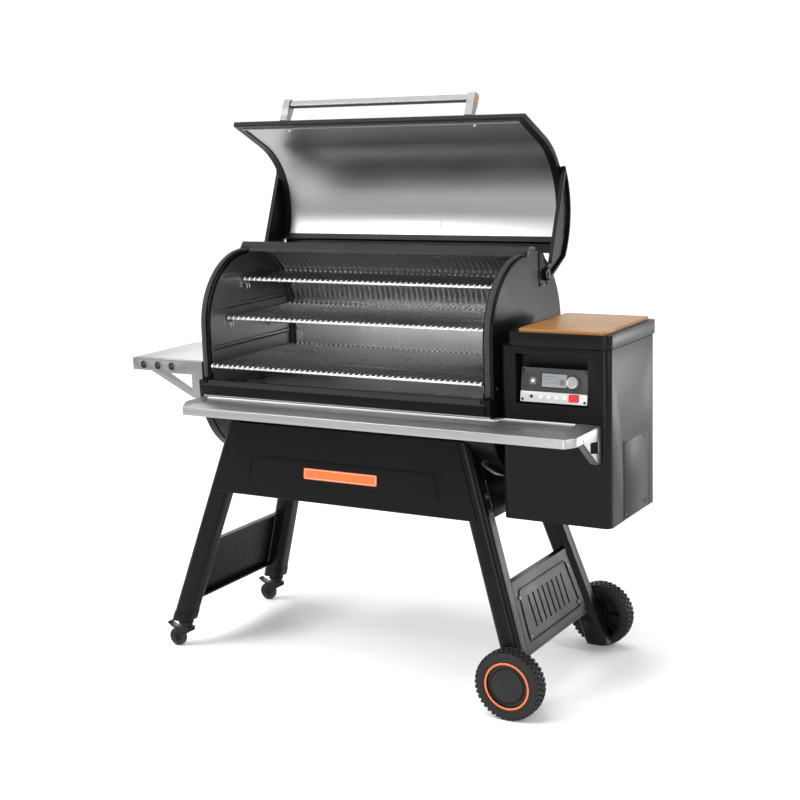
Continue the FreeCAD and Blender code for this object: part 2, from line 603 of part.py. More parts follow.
def make_grates():
    brackets = []
    for name, (y0, y1, top) in GRATES.items():
        cross_z = top - BAR_THICK - CROSS_R + 1.0
        grate = box(-GRATE_HALF, GRATE_HALF, y0, y1, top - BAR_THICK, top)
        gaps = []
        count = int(2 * GRATE_HALF / BAR_PITCH)
        pitch = (2 * GRATE_HALF - BAR_WIDE) / count
        for i in range(count):
            x = -GRATE_HALF + BAR_WIDE + i * pitch
            gaps.append(box(x, x + pitch - BAR_WIDE, y0 + 5, y1 - 5, top - 10, top + 10))
        grate = grate.cut(Part.makeCompound(gaps))
        runs = 4 if y1 - y0 > 300 else 3
        for j in range(runs):
            y = y0 + CROSS_R + j * (y1 - y0 - 2 * CROSS_R) / (runs - 1)
            cross = side_prism([(y - CROSS_R, cross_z - 1.5), (y, cross_z - CROSS_R),
                                (y + CROSS_R, cross_z - 1.5), (y + CROSS_R, cross_z + 1.5),
                                (y - CROSS_R, cross_z + 1.5)], -GRATE_HALF, GRATE_HALF)
            grate = grate.fuse(cross)
        node(name, grate)
        ledge_z = cross_z - CROSS_R - 0.3
        rail = box(PLATE_IN - 13, PLATE_IN - 1.4, y0 + 6, y1 - 2, ledge_z - 1.6, ledge_z)
        rail = rail.fuse(box(PLATE_IN - 3, PLATE_IN - 1.4, y0 + 6, y1 - 2, ledge_z - 14, ledge_z))
        brackets += pair(rail)
    node("grate_brackets", *brackets)


# ---------------------------------------------------------------- lid
def lid_sector(outer, inner, x0, x1, low_z, last):
    """Part of the closed lid between two radii; it runs up the front and over the top."""
    return side_prism([
        (MID_Y - outer, low_z),
        (MID_Y - outer, UPPER_Z),
        polar(outer, last / 2) + polar(outer, last),
        polar(inner, last),
        polar(inner, last / 2) + polar(inner, 0),
        (MID_Y - inner, low_z),
    ], x0, x1)


def arm(side):
    """Bow-shaped arm outside the lid's end, in the open position."""
    turn = math.radians(LID_OPEN_DEG)
    dy, dz = MID_Y - PIVOT_Y, UPPER_Z - PIVOT_Z
    open_y = PIVOT_Y + dy * math.cos(turn) + dz * math.sin(turn)
    open_z = PIVOT_Z - dy * math.sin(turn) + dz * math.cos(turn)

    def on_curve(radius, degrees):
        angle = math.radians(degrees)
        return (open_y + radius * math.cos(angle), open_z + radius * math.sin(angle))

    def bow(radius, shrink, x0, x1):
        low = on_curve(radius, -34)
        return side_prism([
            (PIVOT_Y - 17 + shrink, PIVOT_Z + 6), (338 + shrink, 1118 + shrink),
            (436 + shrink, 1362 - 2 * shrink), on_curve(radius, 31 - 0.5 * shrink),
            on_curve(radius, 0) + low,
            (PIVOT_Y + 19 - shrink, PIVOT_Z - 12 + shrink), (PIVOT_Y - 5 + shrink, PIVOT_Z - 17 + shrink),
        ], x0, x1)

    solid = bow(ARM_R, 0, ARM_X0, ARM_X1)
    pocket = bow(ARM_R - 5, 5.5, ARM_X0 + 3, ARM_X1 + 5)
    boss = rod(15.0, (ARM_X0, PIVOT_Y, PIVOT_Z), (ARM_X1, PIVOT_Y, PIVOT_Z))
    strap = side_prism([
        on_curve(ARM_R, -23), on_curve(ARM_R, 4) + on_curve(ARM_R, 30.5),
        on_curve(LID_OUT_R + 0.05, 30.5),
        on_curve(LID_OUT_R + 0.05, 4) + on_curve(LID_OUT_R + 0.05, -23),
    ], ARM_X0 - 30, ARM_X0 + 1)
    shape = solid.cut(pocket).fuse(boss).fuse(strap)
    shape = shape.cut(rod(PIN_R + RUNNING_GAP, (ARM_X0 - 30, PIVOT_Y, PIVOT_Z),
                          (ARM_X1 + 30, PIVOT_Y, PIVOT_Z)))
    bolts = []
    for degrees in (27, 12, -3, -18):
        y, z = on_curve(ARM_R, degrees)
        out = (0, math.cos(math.radians(degrees)), math.sin(math.radians(degrees)))
        bolts.append(hex_bolt((ARM_X0 - 14, y, z), out, 5.0, 4.0))
    if side < 0:
        return mirror_x(shape), [mirror_x(b) for b in bolts]
    return shape, bolts


def make_lid():
    half = PLATE_OUT + 1
    low, last = SILL_TOP + 3, 89.0
    inner = 439.0
    shell = lid_sector(LID_OUT_R, LID_IN_R, -half, half, low, last)
    hollow = lid_sector(LID_OUT_R - SHEET, LID_IN_R + SHEET, -half + SHEET, half - SHEET,
                        low + SHEET, last - 0.6)
    window = lid_sector(LID_IN_R + SHEET + 0.1, LID_IN_R - 1, -inner, inner, low + 16, last - 5)
    shell = shell.cut(hollow).cut(window)
    roll_y = MID_Y - LID_OUT_R + 6.6
    roll = rod(6.4, (-half, roll_y, low + 6.4), (half, roll_y, low + 6.4))
    rain_lip = side_prism([(192, 1174.6), (224, 1183.7), (223.6, 1185.1), (191.6, 1176.0)],
                          -half + 3, half - 3)
    shell = shell.fuse(roll).fuse(rain_lip)
    node("lid_shell", opened(shell))
    liner = lid_sector(LID_IN_R - 0.1, LID_IN_R - 1.2, -inner - 4, inner + 4, low + 12, last - 2.5)
    node("lid_liner", opened(liner))

    arms = []
    bolts = []
    for side in (-1, 1):
        shape, heads = arm(side)
        arms.append(shape)
        bolts += heads
    node("lid_arms", *arms)
    node("lid_bolts", *bolts)

    skin_y = MID_Y - LID_OUT_R
    grip_y, grip_z, grip_half = skin_y - 54, low + 14, 285
    tube = rounded_box(-grip_half, grip_half, grip_y - 9, grip_y + 9, grip_z - 9, grip_z + 9, 4, X_AXIS)
    bore = box(-grip_half - 1, grip_half + 1, grip_y - 7, grip_y + 7, grip_z - 7, grip_z + 7)
    posts = []
    for side in (-1, 1):
        x0, x1 = sorted((side * grip_half, side * (grip_half + 22)))
        post = rounded_box(x0, x1, grip_y - 14, skin_y + 1, grip_z - 13, grip_z + 13, 9, X_AXIS)
        posts.append(post.cut(lid_sector(LID_OUT_R + 0.1, LID_IN_R, -500, 500, 700, 60)))
    node("lid_handle", *[opened(s) for s in [tube.cut(bore)] + posts])

    y0, y1, z0, z1 = 288.0, 340.0, 1062.0, 1152.0
    bracket = side_prism([(y0, z0), (y1, z0), (y1, 1116), (312, z1), (y0, z1)], PLATE_OUT,
                         ARM_X0 - 0.6)
    pin = rod(PIN_R, (PLATE_IN + 9, PIVOT_Y, PIVOT_Z), (ARM_X1 + 2.5, PIVOT_Y, PIVOT_Z))
    bracket = bracket.fuse(pin)
    for y in (296.0, 332.0):
        bracket = bracket.fuse(hex_bolt((ARM_X0 - 0.6, y, z0 + 5), (1, 0, 0), 3.2, 3.0))
    node("hinge_brackets", *pair(bracket))


# ---------------------------------------------------------------- hopper and controller
def on_panel(shape):
    """Move a piece drawn on the upright controller front to its leaning place."""
    shape = shape.rotated(Vector(0, 0, 0), X_AXIS, -PANEL_LEAN_DEG)
    return shape.translated(Vector(PANEL_X0, PANEL_Y, PANEL_Z))


def make_hopper():
    x0, x1, y0, y1 = HOPPER_X0, HOPPER_X1, HOPPER_Y0, HOPPER_Y1
    outer = rounded_box(x0, x1, y0, y1, HOPPER_BOTTOM, HOPPER_TOP, HOPPER_CORNER)
    inner = rounded_box(x0 + SHEET, x1 - SHEET, y0 + SHEET, y1 - SHEET, HOPPER_BOTTOM + SHEET,
                        HOPPER_TOP + 1, HOPPER_CORNER - SHEET)
    body = outer.cut(inner)
    cap = box(x0 + 1, HOPPER_LID_X0 - 1, y0 + 19, y1 - 19, HOPPER_TOP - SHEET, HOPPER_TOP)
    body = body.fuse(cap)
    window = (527.0, 724.0, 802.0, 930.0)
    wx0, wx1, wz0, wz1 = window
    case = box(wx0 - 1.5, wx1 + 1.5, y0 + 0.5, 48, wz0 - 1.5, wz1 + 1.5)
    recess = box(wx0, wx1, y0 - 5, 46.5, wz0, wz1)
    body = body.cut(recess).fuse(case.cut(recess))
    body = body.cut(rod(AUGER_R + 6, (x0 - 3, AUGER_Y, AUGER_Z), (x0 + 5, AUGER_Y, AUGER_Z)))
    door = (92.0, 254.0, 500.0, 701.0)
    dy0, dy1, dz0, dz1 = door
    body = body.cut(box(x1 - 5, x1 + 5, dy0 + 8, dy1 - 8, dz0 + 8, dz1 - 8))
    knuckles = []
    for x in (545.0, 715.0):
        knuckle = box(x, x + 22, y1, HOPPER_HINGE_Y - 3, 926, 946)
        knuckle = knuckle.fuse(box(x, x + 22, HOPPER_HINGE_Y - 6, HOPPER_HINGE_Y + 2, 932, 946))
        knuckle = knuckle.fuse(rod(5.0, (x, HOPPER_HINGE_Y, HOPPER_HINGE_Z - 5),
                                   (x + 22, HOPPER_HINGE_Y, HOPPER_HINGE_Z - 5)))
        knuckle = knuckle.cut(rod(2.5 + CLEAR, (x - 1, HOPPER_HINGE_Y, HOPPER_HINGE_Z - 5),
                                  (x + 60, HOPPER_HINGE_Y, HOPPER_HINGE_Z - 5)))
        knuckles.append(knuckle)
    node("hopper_body", body.fuse(knuckles))
    node("service_cover", box(x1 + 0.1, x1 + 1.6, dy0, dy1, dz0, dz1))

    def ring(z, inset_x, inset_y0, inset_y1):
        ax0, ax1 = x0 + 13 + inset_x[0], x1 - 12 - inset_x[1]
        ay0, ay1 = 75 + inset_y0, 303 - inset_y1
        corners = [Vector(ax0, ay0, z), Vector(ax1, ay0, z), Vector(ax1, ay1, z), Vector(ax0, ay1, z)]
        return Part.makePolygon(corners + corners[:1])

    def funnel(t):
        upper = Part.makeLoft([ring(HOPPER_TOP - 6, (t, t), t, t), ring(800, (t, t), t, t)], True, True)
        lower = Part.makeLoft([ring(800, (t, t), t, t), ring(676, (43 + t, 118 + t), 108 + t, 72 + t)],
                              True, True)
        return upper.fuse(lower)

    cutter = funnel(SHEET)
    mouth = box(542, 650, 184.5, 229.5, 670, 684)
    top_cut = box(x0 + 14.5, x1 - 13.5, 76.5, 301.5, HOPPER_TOP - 10, HOPPER_TOP)
    node("pellet_bin", funnel(0).cut(cutter).cut(mouth).cut(top_cut))

    lid = rounded_box(HOPPER_LID_X0, x1 + 2, y0 - 1, y1 + 9, HOPPER_TOP + 2, HOPPER_LID_TOP,
                      HOPPER_CORNER)
    under = rounded_box(HOPPER_LID_X0 + SHEET, x1 + 2 - SHEET, y0 - 1 + SHEET, y1 + 9 - SHEET,
                        HOPPER_TOP + 1, HOPPER_LID_TOP - 12, HOPPER_CORNER - SHEET)
    board = (530.0, 767.0, 12.0, 314.0)
    seat = rounded_box(board[0] - 0.5, board[1] + 0.5, board[2] - 0.5, board[3] + 0.5,
                       HOPPER_LID_TOP - 9, HOPPER_LID_TOP + 1, 10)
    lid = lid.cut(under).cut(seat)
    for x in (568.0, 693.0):
        barrel = rod(5.0, (x, HOPPER_HINGE_Y, HOPPER_HINGE_Z - 5), (x + 21, HOPPER_HINGE_Y,
                                                                    HOPPER_HINGE_Z - 5))
        leaf = box(x, x + 21, y1 + 8, HOPPER_HINGE_Y + 2, HOPPER_HINGE_Z - 4, HOPPER_HINGE_Z + 8)
        lid = lid.fuse(barrel.fuse(leaf))
    for x, end in ((546.0, 590.0), (692.0, 736.0)):
        lid = lid.fuse(rod(2.5, (x, HOPPER_HINGE_Y, HOPPER_HINGE_Z - 5),
                           (end, HOPPER_HINGE_Y, HOPPER_HINGE_Z - 5)))
    node("hopper_lid", lid)
    slab = rounded_box(board[0], board[1], board[2], board[3], HOPPER_LID_TOP - 8.8,
                       HOPPER_LID_TOP + 8, 10)
    rims = [e for e in slab.Edges if e.CenterOfMass.z > HOPPER_LID_TOP + 7.9]
    node("bamboo_board", slab.makeFillet(2.5, rims))


def make_controller():
    split = 27.0
    upper = box(0, PANEL_WIDE, 0, 3, split, PANEL_TALL)
    lower = box(0, PANEL_WIDE, 0, 3, 0, split)
    lower = lower.cut(rod(3.5, (31, -5, 14.5), (31, 5, 14.5)))
    for x in MENU_BUTTON_X:
        lower = lower.cut(box(x - 5.5, x + 5.5, -5, 5, 10.5, 18.5))
    lower = lower.cut(box(133.0, 160.0, -5, 5, 6.5, 24.5))
    upper = upper.cut(box(58, 126, -5, 5, 40, 74))
    upper = upper.cut(rod(7.5, (145, -5, 55), (145, 5, 55)))
    upper = upper.cut(rod(3.0, (33, -5, 54), (33, 5, 54)))
    case = box(4, PANEL_WIDE - 4, 9, 24, 4, PANEL_TALL - 4)
    walls = box(4, PANEL_WIDE - 4, 3, 9, 4, PANEL_TALL - 4)
    walls = walls.cut(box(6, PANEL_WIDE - 6, 2, 10, 6, PANEL_TALL - 6))
    lamp = rod(2.9, (33, -0.5, 54), (33, 3, 54))
    screws = [hex_bolt((x, 0, z), (0, -1, 0), 2.6, 1.6) for x in (6.5, PANEL_WIDE - 6.5)
              for z in (7.0, PANEL_TALL - 7)]
    node("controller_case", *[on_panel(s) for s in [upper, lower, case.fuse(walls), lamp] + screws])
    node("display_window", on_panel(box(58.2, 125.8, 0.8, 3, 40.2, 73.8)))

    knob = rod(16.0, (145, -14, 55), (145, -0.8, 55))
    edge = [e for e in knob.Edges if e.CenterOfMass.y < -13 and isinstance(e.Curve, Part.Circle)]
    knob = knob.makeFillet(2.0, edge)
    grooves = []
    for i in range(24):
        groove = rod(1.1, (145, -11, 71.4), (145, 0, 71.4))
        grooves.append(groove.rotated(Vector(145, 0, 55), Y_AXIS, 15.0 * i))
    knob = knob.cut(Part.makeCompound(grooves)).fuse(rod(6.0, (145, -2, 55), (145, 5, 55)))
    node("control_knob", on_panel(knob))
    for i, x in enumerate(MENU_BUTTON_X):
        cap = rounded_box(x - 5, x + 5, -2.2, 6, 11, 18, 2, Y_AXIS)
        node("menu_button_%d" % (i + 1), on_panel(cap))
    node("start_button", on_panel(rounded_box(133.6, 159.4, -2.6, 6, 7.1, 23.9, 2, Y_AXIS)))


def make_fasteners():
    bolts = []
    for side in (-1, 1):
        for front in (True, False):
            for z in (545.0, 505.0):
                centre = leg_centre(side, front, z)
                bolts.append(hex_bolt((centre.x + side * (LEG_SIDE / 2 + 0.05), centre.y, z),
                                      (side, 0, LEAN_X), 6.0, 4.0))
        for y in (37.0, 347.0):
            for z in (170.0, 270.0):
                x = side * (LEG_X + LEAN_X * (LEG_Z - z) + 20.2)
                bolts.append(hex_bolt((x, y, z), (side, 0, LEAN_X), 5.0, 3.5))
    bolts.append(hex_bolt((PLATE_OUT, 22, 830), (1, 0, 0), 4.0, 3.0))
    for y in (102.0, 244.0):
        for z in (512.0, 689.0):
            bolts.append(hex_bolt((HOPPER_X1 + 1.6, y, z), (1, 0, 0), 3.5, 2.0))
    node("frame_bolts", *bolts)
    inlet = rounded_box(600, 650, HOPPER_Y1, HOPPER_Y1 + 6, 540, 575, 4, Y_AXIS)
    inlet = inlet.cut(box(609, 641, HOPPER_Y1 - 1 + 2, HOPPER_Y1 + 7, 547, 568))
    pins = [box(x - 1, x + 1, HOPPER_Y1 + 1, HOPPER_Y1 + 5, 554, 561) for x in (616, 625, 634)]
    node("power_inlet", inlet.fuse(pins))


# ---------------------------------------------------------------- build and write
def write_parts():
    """Move everything so that the origin is under the middle of the object's box."""
    whole = Part.makeCompound([s for shapes in NODES.values() for s in shapes]).optimalBoundingBox()
    middle = Vector(-(whole.XMin + whole.XMax) / 2, -(whole.YMin + whole.YMax) / 2, -whole.ZMin)
    print("shift", [round(v, 4) for v in middle], "size", round(whole.XLength, 1),
          round(whole.YLength, 1), round(whole.ZLength, 1), "nodes", len(NODES))
    for name, shapes in NODES.items():
        moved = [s.translated(middle) for s in shapes]
        solids = [solid for shape in moved for solid in shape.Solids]
        result = solids[0] if len(solids) == 1 else Part.makeCompound(solids)
        result.exportStep("parts/%s.step" % name)


make_barrel()
make_shelves()
make_base()
make_wheels()
make_firebox()
make_grates()
make_lid()
make_hopper()
make_controller()
make_fasteners()
write_parts()
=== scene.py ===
import math

import bmesh
import bpy
from mathutils import Matrix, Vector


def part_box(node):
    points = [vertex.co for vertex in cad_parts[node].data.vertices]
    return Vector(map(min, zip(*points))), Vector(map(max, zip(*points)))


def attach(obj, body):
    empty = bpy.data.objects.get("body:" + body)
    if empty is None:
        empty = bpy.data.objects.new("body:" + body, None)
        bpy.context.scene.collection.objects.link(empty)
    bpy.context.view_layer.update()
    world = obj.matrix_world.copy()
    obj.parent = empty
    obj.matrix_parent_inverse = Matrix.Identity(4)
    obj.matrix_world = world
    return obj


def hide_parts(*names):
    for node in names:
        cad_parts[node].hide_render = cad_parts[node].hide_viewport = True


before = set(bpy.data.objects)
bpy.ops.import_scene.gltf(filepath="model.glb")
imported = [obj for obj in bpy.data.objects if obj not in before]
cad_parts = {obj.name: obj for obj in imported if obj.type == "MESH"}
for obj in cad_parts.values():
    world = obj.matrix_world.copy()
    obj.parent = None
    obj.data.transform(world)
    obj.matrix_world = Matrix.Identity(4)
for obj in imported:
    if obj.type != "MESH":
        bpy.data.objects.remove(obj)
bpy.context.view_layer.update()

# ---------------------------------------------------------------- sizes, in mm
# Pieces are drawn in mm with x = 0 at the barrel's middle, y = 0 at the grates' front and
# z = 0 on the floor, then moved into the frame by PLACE.
liner_low, liner_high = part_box("chamber_liner")
SHIFT = Vector(((liner_low.x + liner_high.x) / 2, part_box("bottom_grate")[0].y, 0))
PLACE = Matrix.Translation(SHIFT) @ Matrix.Scale(0.001, 4)

PLATE_OUT, PLATE_IN = 464.0, 436.0
MID_Y, UPPER_Z, LOWER_Z = 205.0, 950.0, 784.0
SHELL_R, RIM_R = 226.0, 203.0
LID_OUT_R = 226.0
SILL_TOP, CREST_Y = 806.0, 230.0
PIVOT = Vector((0, 318.5, 1093.0))
OPEN = (Matrix.Translation(PIVOT) @ Matrix.Rotation(math.radians(-116.5), 4, "X")
        @ Matrix.Translation(-PIVOT))
PANEL = (Matrix.Translation((537.0, 6.3, 806.6))
         @ Matrix.Rotation(math.radians(-8.7), 4, "X"))
WHEEL = Vector((552.0, 0, 93.0))
LEG_X, LEG_Z, LEAN_X, LEAN_Y = 420.0, 483.0, 0.326, 0.123


# ---------------------------------------------------------------- materials
def tree(name):
    """New material, its node tree and its shader."""
    mat = bpy.data.materials.new(name)
    mat.use_nodes = True
    return mat, mat.node_tree, mat.node_tree.nodes["Principled BSDF"]


def add(nt, kind, values=None, **links):
    """New node with some socket values set and some sockets linked."""
    node = nt.nodes.new(kind)
    for key, value in (values or {}).items():
        node.inputs[key].default_value = value
    for key, socket in links.items():
        nt.links.new(socket, node.inputs[key])
    return node


def grain(nt, stretch, scale, detail=3.0, rough=0.55):
    """Noise in the object's own space, stretched along an axis."""
    coords = nt.nodes.new("ShaderNodeTexCoord")
    mapping = add(nt, "ShaderNodeMapping", {"Scale": stretch}, Vector=coords.outputs["Object"])
    noise = add(nt, "ShaderNodeTexNoise", {"Scale": scale, "Detail": detail, "Roughness": rough},
                Vector=mapping.outputs[0])
    return noise.outputs["Fac"]


def spread(nt, socket, low, high):
    """The middle of a noise spread over a range of values."""
    node = add(nt, "ShaderNodeMapRange", {"From Min": 0.3, "From Max": 0.7, "To Min": low,
                                          "To Max": high}, Value=socket)
    return node.outputs[0]


def blend_colour(nt, factor, dark, light):
    ramp = nt.nodes.new("ShaderNodeValToRGB")
    ramp.color_ramp.elements[0].position = 0.3
    ramp.color_ramp.elements[1].position = 0.7
    ramp.color_ramp.elements[0].color = (*dark, 1)
    ramp.color_ramp.elements[1].color = (*light, 1)
    nt.links.new(factor, ramp.inputs["Fac"])
    return ramp.outputs["Color"]


def relief(nt, bsdf, height, strength, depth):
    node = add(nt, "ShaderNodeBump", {"Strength": strength, "Distance": depth}, Height=height)
    nt.links.new(node.outputs[0], bsdf.inputs["Normal"])


def surface(name, colour, roughness, metallic=0.0, stretch=(1, 1, 1), scale=600.0, tint=0.1,
            swing=0.08, bump=0.2, depth=0.0003, smudge=0.05, **sockets):
    """Material with a fine grain in its relief and colour and broad smudges in its gloss."""
    mat, nt, bsdf = tree(name)
    fine = grain(nt, stretch, scale)
    broad = grain(nt, (1, 1, 1), 5.0, 4.0, 0.6)
    dark = [c * (1 - tint) for c in colour]
    light = [min(1, c * (1 + tint)) for c in colour]
    nt.links.new(blend_colour(nt, fine, dark, light), bsdf.inputs["Base Color"])
    sum_node = add(nt, "ShaderNodeMath")
    nt.links.new(spread(nt, fine, roughness - swing / 2, roughness + swing / 2),
                 sum_node.inputs[0])
    nt.links.new(spread(nt, broad, -smudge, smudge), sum_node.inputs[1])
    nt.links.new(sum_node.outputs[0], bsdf.inputs["Roughness"])
    relief(nt, bsdf, fine, bump, depth)
    bsdf.inputs["Metallic"].default_value = metallic
    for key, value in sockets.items():
        bsdf.inputs[key.replace("_", " ")].default_value = value
    return mat


def steel(name, stretch, colour, roughness, swing=0.08, bump=0.05):
    """Brushed steel, its grain drawn out along one axis."""
    return surface(name, colour, roughness, 1.0, stretch, 1.0, 0.05, swing, bump, 0.00003, 0.03)


ALONG_X, ALONG_Y, ALONG_Z = (2.5, 620, 620), (620, 2.5, 620), (620, 620, 2.5)
BLACK = surface("powder_black", (0.0035, 0.0035, 0.0039), 0.35, scale=520, bump=0.3, depth=0.0003,
                tint=0.3, swing=0.12, Specular_IOR_Level=0.13)
BLACK_SOFT = surface("powder_black_fine", (0.005, 0.005, 0.0055), 0.38, scale=700, bump=0.12,
                     Specular_IOR_Level=0.18)
LINER_SIDE = steel("side_liner_steel", ALONG_Y, (0.3, 0.3, 0.295), 0.36, 0.06, 0.02)
# Same brushed steel as the side liner with about twice its colour: painted light on the fluted back
# and the smooth lower liner.
LINER_BACK_PAINTED_LIGHT = steel("back_liner_steel_painted_light", ALONG_Z, (0.66, 0.66, 0.65), 0.24, 0.04, 0.0)
LID_STEEL = steel("lid_liner_steel", ALONG_X, (0.33, 0.33, 0.326), 0.36, 0.06, 0.025)
SHELF_STEEL = steel("shelf_steel", ALONG_X, (0.36, 0.36, 0.356), 0.42)
SIDE_SHELF_STEEL = steel("side_shelf_steel", ALONG_Y, (0.25, 0.25, 0.247), 0.42)
HANDLE_STEEL = steel("handle_steel", ALONG_X, (0.2, 0.2, 0.197), 0.38, 0.05, 0.02)
WIRE_STEEL = surface("grate_wire", (0.32, 0.32, 0.31), 0.34, 1.0, scale=260, tint=0.25, swing=0.2)
# Lightened copy of the grate wire steel: a painted highlight, used on the grates' front rods and
# wire ends, the lid hem and the lid lining screws.
PAINTED_HIGHLIGHT_STEEL = surface("grate_wire_ends", (0.82, 0.82, 0.81), 0.4, 0.75, scale=260, tint=0.06)
BOLT_STEEL = surface("dark_bolts", (0.09, 0.09, 0.09), 0.34, 0.8, scale=500)
ZINC = surface("zinc_steel", (0.5, 0.5, 0.5), 0.36, 1.0, scale=60, tint=0.15, swing=0.14)
SOOTY = surface("sooty_steel", (0.16, 0.155, 0.15), 0.5, 0.9, scale=40, tint=0.3, swing=0.2)
RUBBER = surface("tyre_rubber", (0.008, 0.008, 0.008), 0.55, scale=500, bump=0.35, tint=0.2,
                 Specular_IOR_Level=0.3)
PLASTIC = surface("moulded_plastic", (0.007, 0.007, 0.0075), 0.38, scale=1400, bump=0.15,
                  Specular_IOR_Level=0.3)
GREY_PLASTIC = surface("grey_plastic", (0.026, 0.027, 0.028), 0.42, scale=1400, bump=0.15,
                       Specular_IOR_Level=0.35)
SILVER_PANEL = surface("silver_panel", (0.5, 0.5, 0.495), 0.42, 0.35, scale=1500, bump=0.1)
KNOB = surface("knob_silver", (0.36, 0.36, 0.355), 0.36, 0.6, scale=700, tint=0.2, bump=0.2)
DISPLAY_BAR = surface("display_bar", (0.1, 0.11, 0.115), 0.3, scale=900, bump=0.0)
BUTTON = surface("pale_button", (0.66, 0.66, 0.65), 0.35, 0.1, scale=1200, bump=0.05)
RED = surface("red_button", (0.62, 0.012, 0.02), 0.3, scale=1200, bump=0.05, Coat_Weight=0.4)
ORANGE = surface("orange_enamel", (0.86, 0.16, 0.03), 0.4, scale=900, bump=0.1, tint=0.05)
LENS = surface("display_lens", (0.2, 0.215, 0.22), 0.2, scale=1500, tint=0.25, bump=0.0,
               Coat_Weight=0.6)
CASTER = surface("caster_tread", (0.01, 0.01, 0.01), 0.5, scale=700, bump=0.2,
                 Specular_IOR_Level=0.35)


def rope_material():
    mat, nt, bsdf = tree("rope_gasket")
    coords = nt.nodes.new("ShaderNodeTexCoord")
    mapping = add(nt, "ShaderNodeMapping", {"Rotation": (0.6, 0.5, 0.4)},
                  Vector=coords.outputs["Object"])
    wave = add(nt, "ShaderNodeTexWave", {"Scale": 140.0, "Distortion": 1.5, "Detail": 2.0},
               Vector=mapping.outputs[0])
    nt.links.new(blend_colour(nt, wave.outputs["Fac"], (0.01, 0.01, 0.01), (0.05, 0.05, 0.048)),
                 bsdf.inputs["Base Color"])
    relief(nt, bsdf, wave.outputs["Fac"], 0.8, 0.001)
    bsdf.inputs["Roughness"].default_value = 0.9
    return mat


def bamboo_material():
    """Laminated strips along X, each a little different, with a fine fibre grain."""
    mat, nt, bsdf = tree("bamboo")
    coords = nt.nodes.new("ShaderNodeTexCoord")
    strips = add(nt, "ShaderNodeTexBrick",
                 {"Scale": 1.0, "Color1": (0.24, 0.1, 0.014, 1), "Color2": (0.35, 0.16, 0.026, 1),
                  "Mortar": (0.24, 0.09, 0.02, 1), "Mortar Size": 0.0004, "Bias": 0.1,
                  "Brick Width": 0.21, "Row Height": 0.021}, Vector=coords.outputs["Object"])
    fibre = grain(nt, (9, 520, 520), 1.0, 5.0)
    mix = nt.nodes.new("ShaderNodeMix")
    mix.data_type = "RGBA"
    mix.blend_type = "MULTIPLY"
    mix.inputs["Factor"].default_value = 0.55
    nt.links.new(strips.outputs["Color"], mix.inputs["A"])
    nt.links.new(blend_colour(nt, fibre, (0.62, 0.5, 0.4), (1.0, 1.0, 1.0)), mix.inputs["B"])
    nt.links.new(mix.outputs["Result"], bsdf.inputs["Base Color"])
    nt.links.new(spread(nt, fibre, 0.38, 0.55), bsdf.inputs["Roughness"])
    relief(nt, bsdf, fibre, 0.25, 0.0003)
    bsdf.inputs["Coat Weight"].default_value = 0.15
    return mat


ROPE = rope_material()
BAMBOO = bamboo_material()


# ---------------------------------------------------------------- mesh helpers
def sharpen(bm, degrees):
    """Smooth faces, parted at edges sharper than an angle."""
    for face in bm.faces:
        face.smooth = True
    for edge in bm.edges:
        if len(edge.link_faces) == 2:
            edge.smooth = edge.calc_face_angle(0) < math.radians(degrees)


def round_edges(bm, width, segments=2, limit=30.0, pick=None):
    edges = [e for e in bm.edges if len(e.link_faces) == 2
             and e.calc_face_angle(0) > math.radians(limit) and (pick is None or pick(e))]
    if edges:
        bmesh.ops.bevel(bm, geom=edges, offset=width, segments=segments, profile=0.5,
                        affect="EDGES", clamp_overlap=True)


def add_object(name, data):
    obj = bpy.data.objects.new(name, data)
    bpy.context.scene.collection.objects.link(obj)
    return obj


def piece(bm, name, mat, body, replaces=(), sharp=38.0, matrix=None):
    """Finish a mesh drawn in mm and hang it on its body."""
    bmesh.ops.recalc_face_normals(bm, faces=bm.faces)
    bmesh.ops.transform(bm, matrix=PLACE @ (matrix or Matrix.Identity(4)), verts=bm.verts)
    sharpen(bm, sharp)
    mesh = bpy.data.meshes.new(name)
    bm.to_mesh(mesh)
    bm.free()
    mesh.materials.append(mat)
    obj = add_object(name, mesh)
    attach(obj, body)
    if replaces:
        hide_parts(*replaces)
    return obj


def around(line):
    """Each item of a closed line with the one after it."""
    return zip(line, line[1:] + line[:1])


def wall(bm, a, b):
    """Faces between two closed rings of vertices."""
    for (a0, a1), (b0, b1) in zip(around(a), around(b)):
        bm.faces.new((a0, a1, b1, b0))


def prism(bm, axis, outline, start, end):
    """Closed outline in the other two axes, extruded along the named axis."""
    def at(p, s):
        return {"x": (s, p[0], p[1]), "y": (p[0], s, p[1]), "z": (p[0], p[1], s)}[axis]
    low = [bm.verts.new(at(p, start)) for p in outline]
    high = [bm.verts.new(at(p, end)) for p in outline]
    bm.faces.new(low)
    bm.faces.new(high[::-1])
    for (low0, low1), (high0, high1) in zip(around(low), around(high)):
        bm.faces.new((low1, low0, high0, high1))
    return low, high


def rect(x0, x1, y0, y1):
    return [(x0, y0), (x1, y0), (x1, y1), (x0, y1)]


def block(bm, x0, x1, y0, y1, z0, z1):
    return prism(bm, "z", rect(x0, x1, y0, y1), z0, z1)


def soft_block(bm, x0, x1, y0, y1, z0, z1, radius, segments=2, matrix=None):
    part = bmesh.new()
    block(part, x0, x1, y0, y1, z0, z1)
    round_edges(part, radius, segments)
    merge(bm, part, matrix)


def eased_prism(bm, axis, outline, start, end, ease, segments=2, limit=30.0, matrix=None):
    part = bmesh.new()
    prism(part, axis, outline, start, end)
    round_edges(part, ease, segments, limit)
    merge(bm, part, matrix)


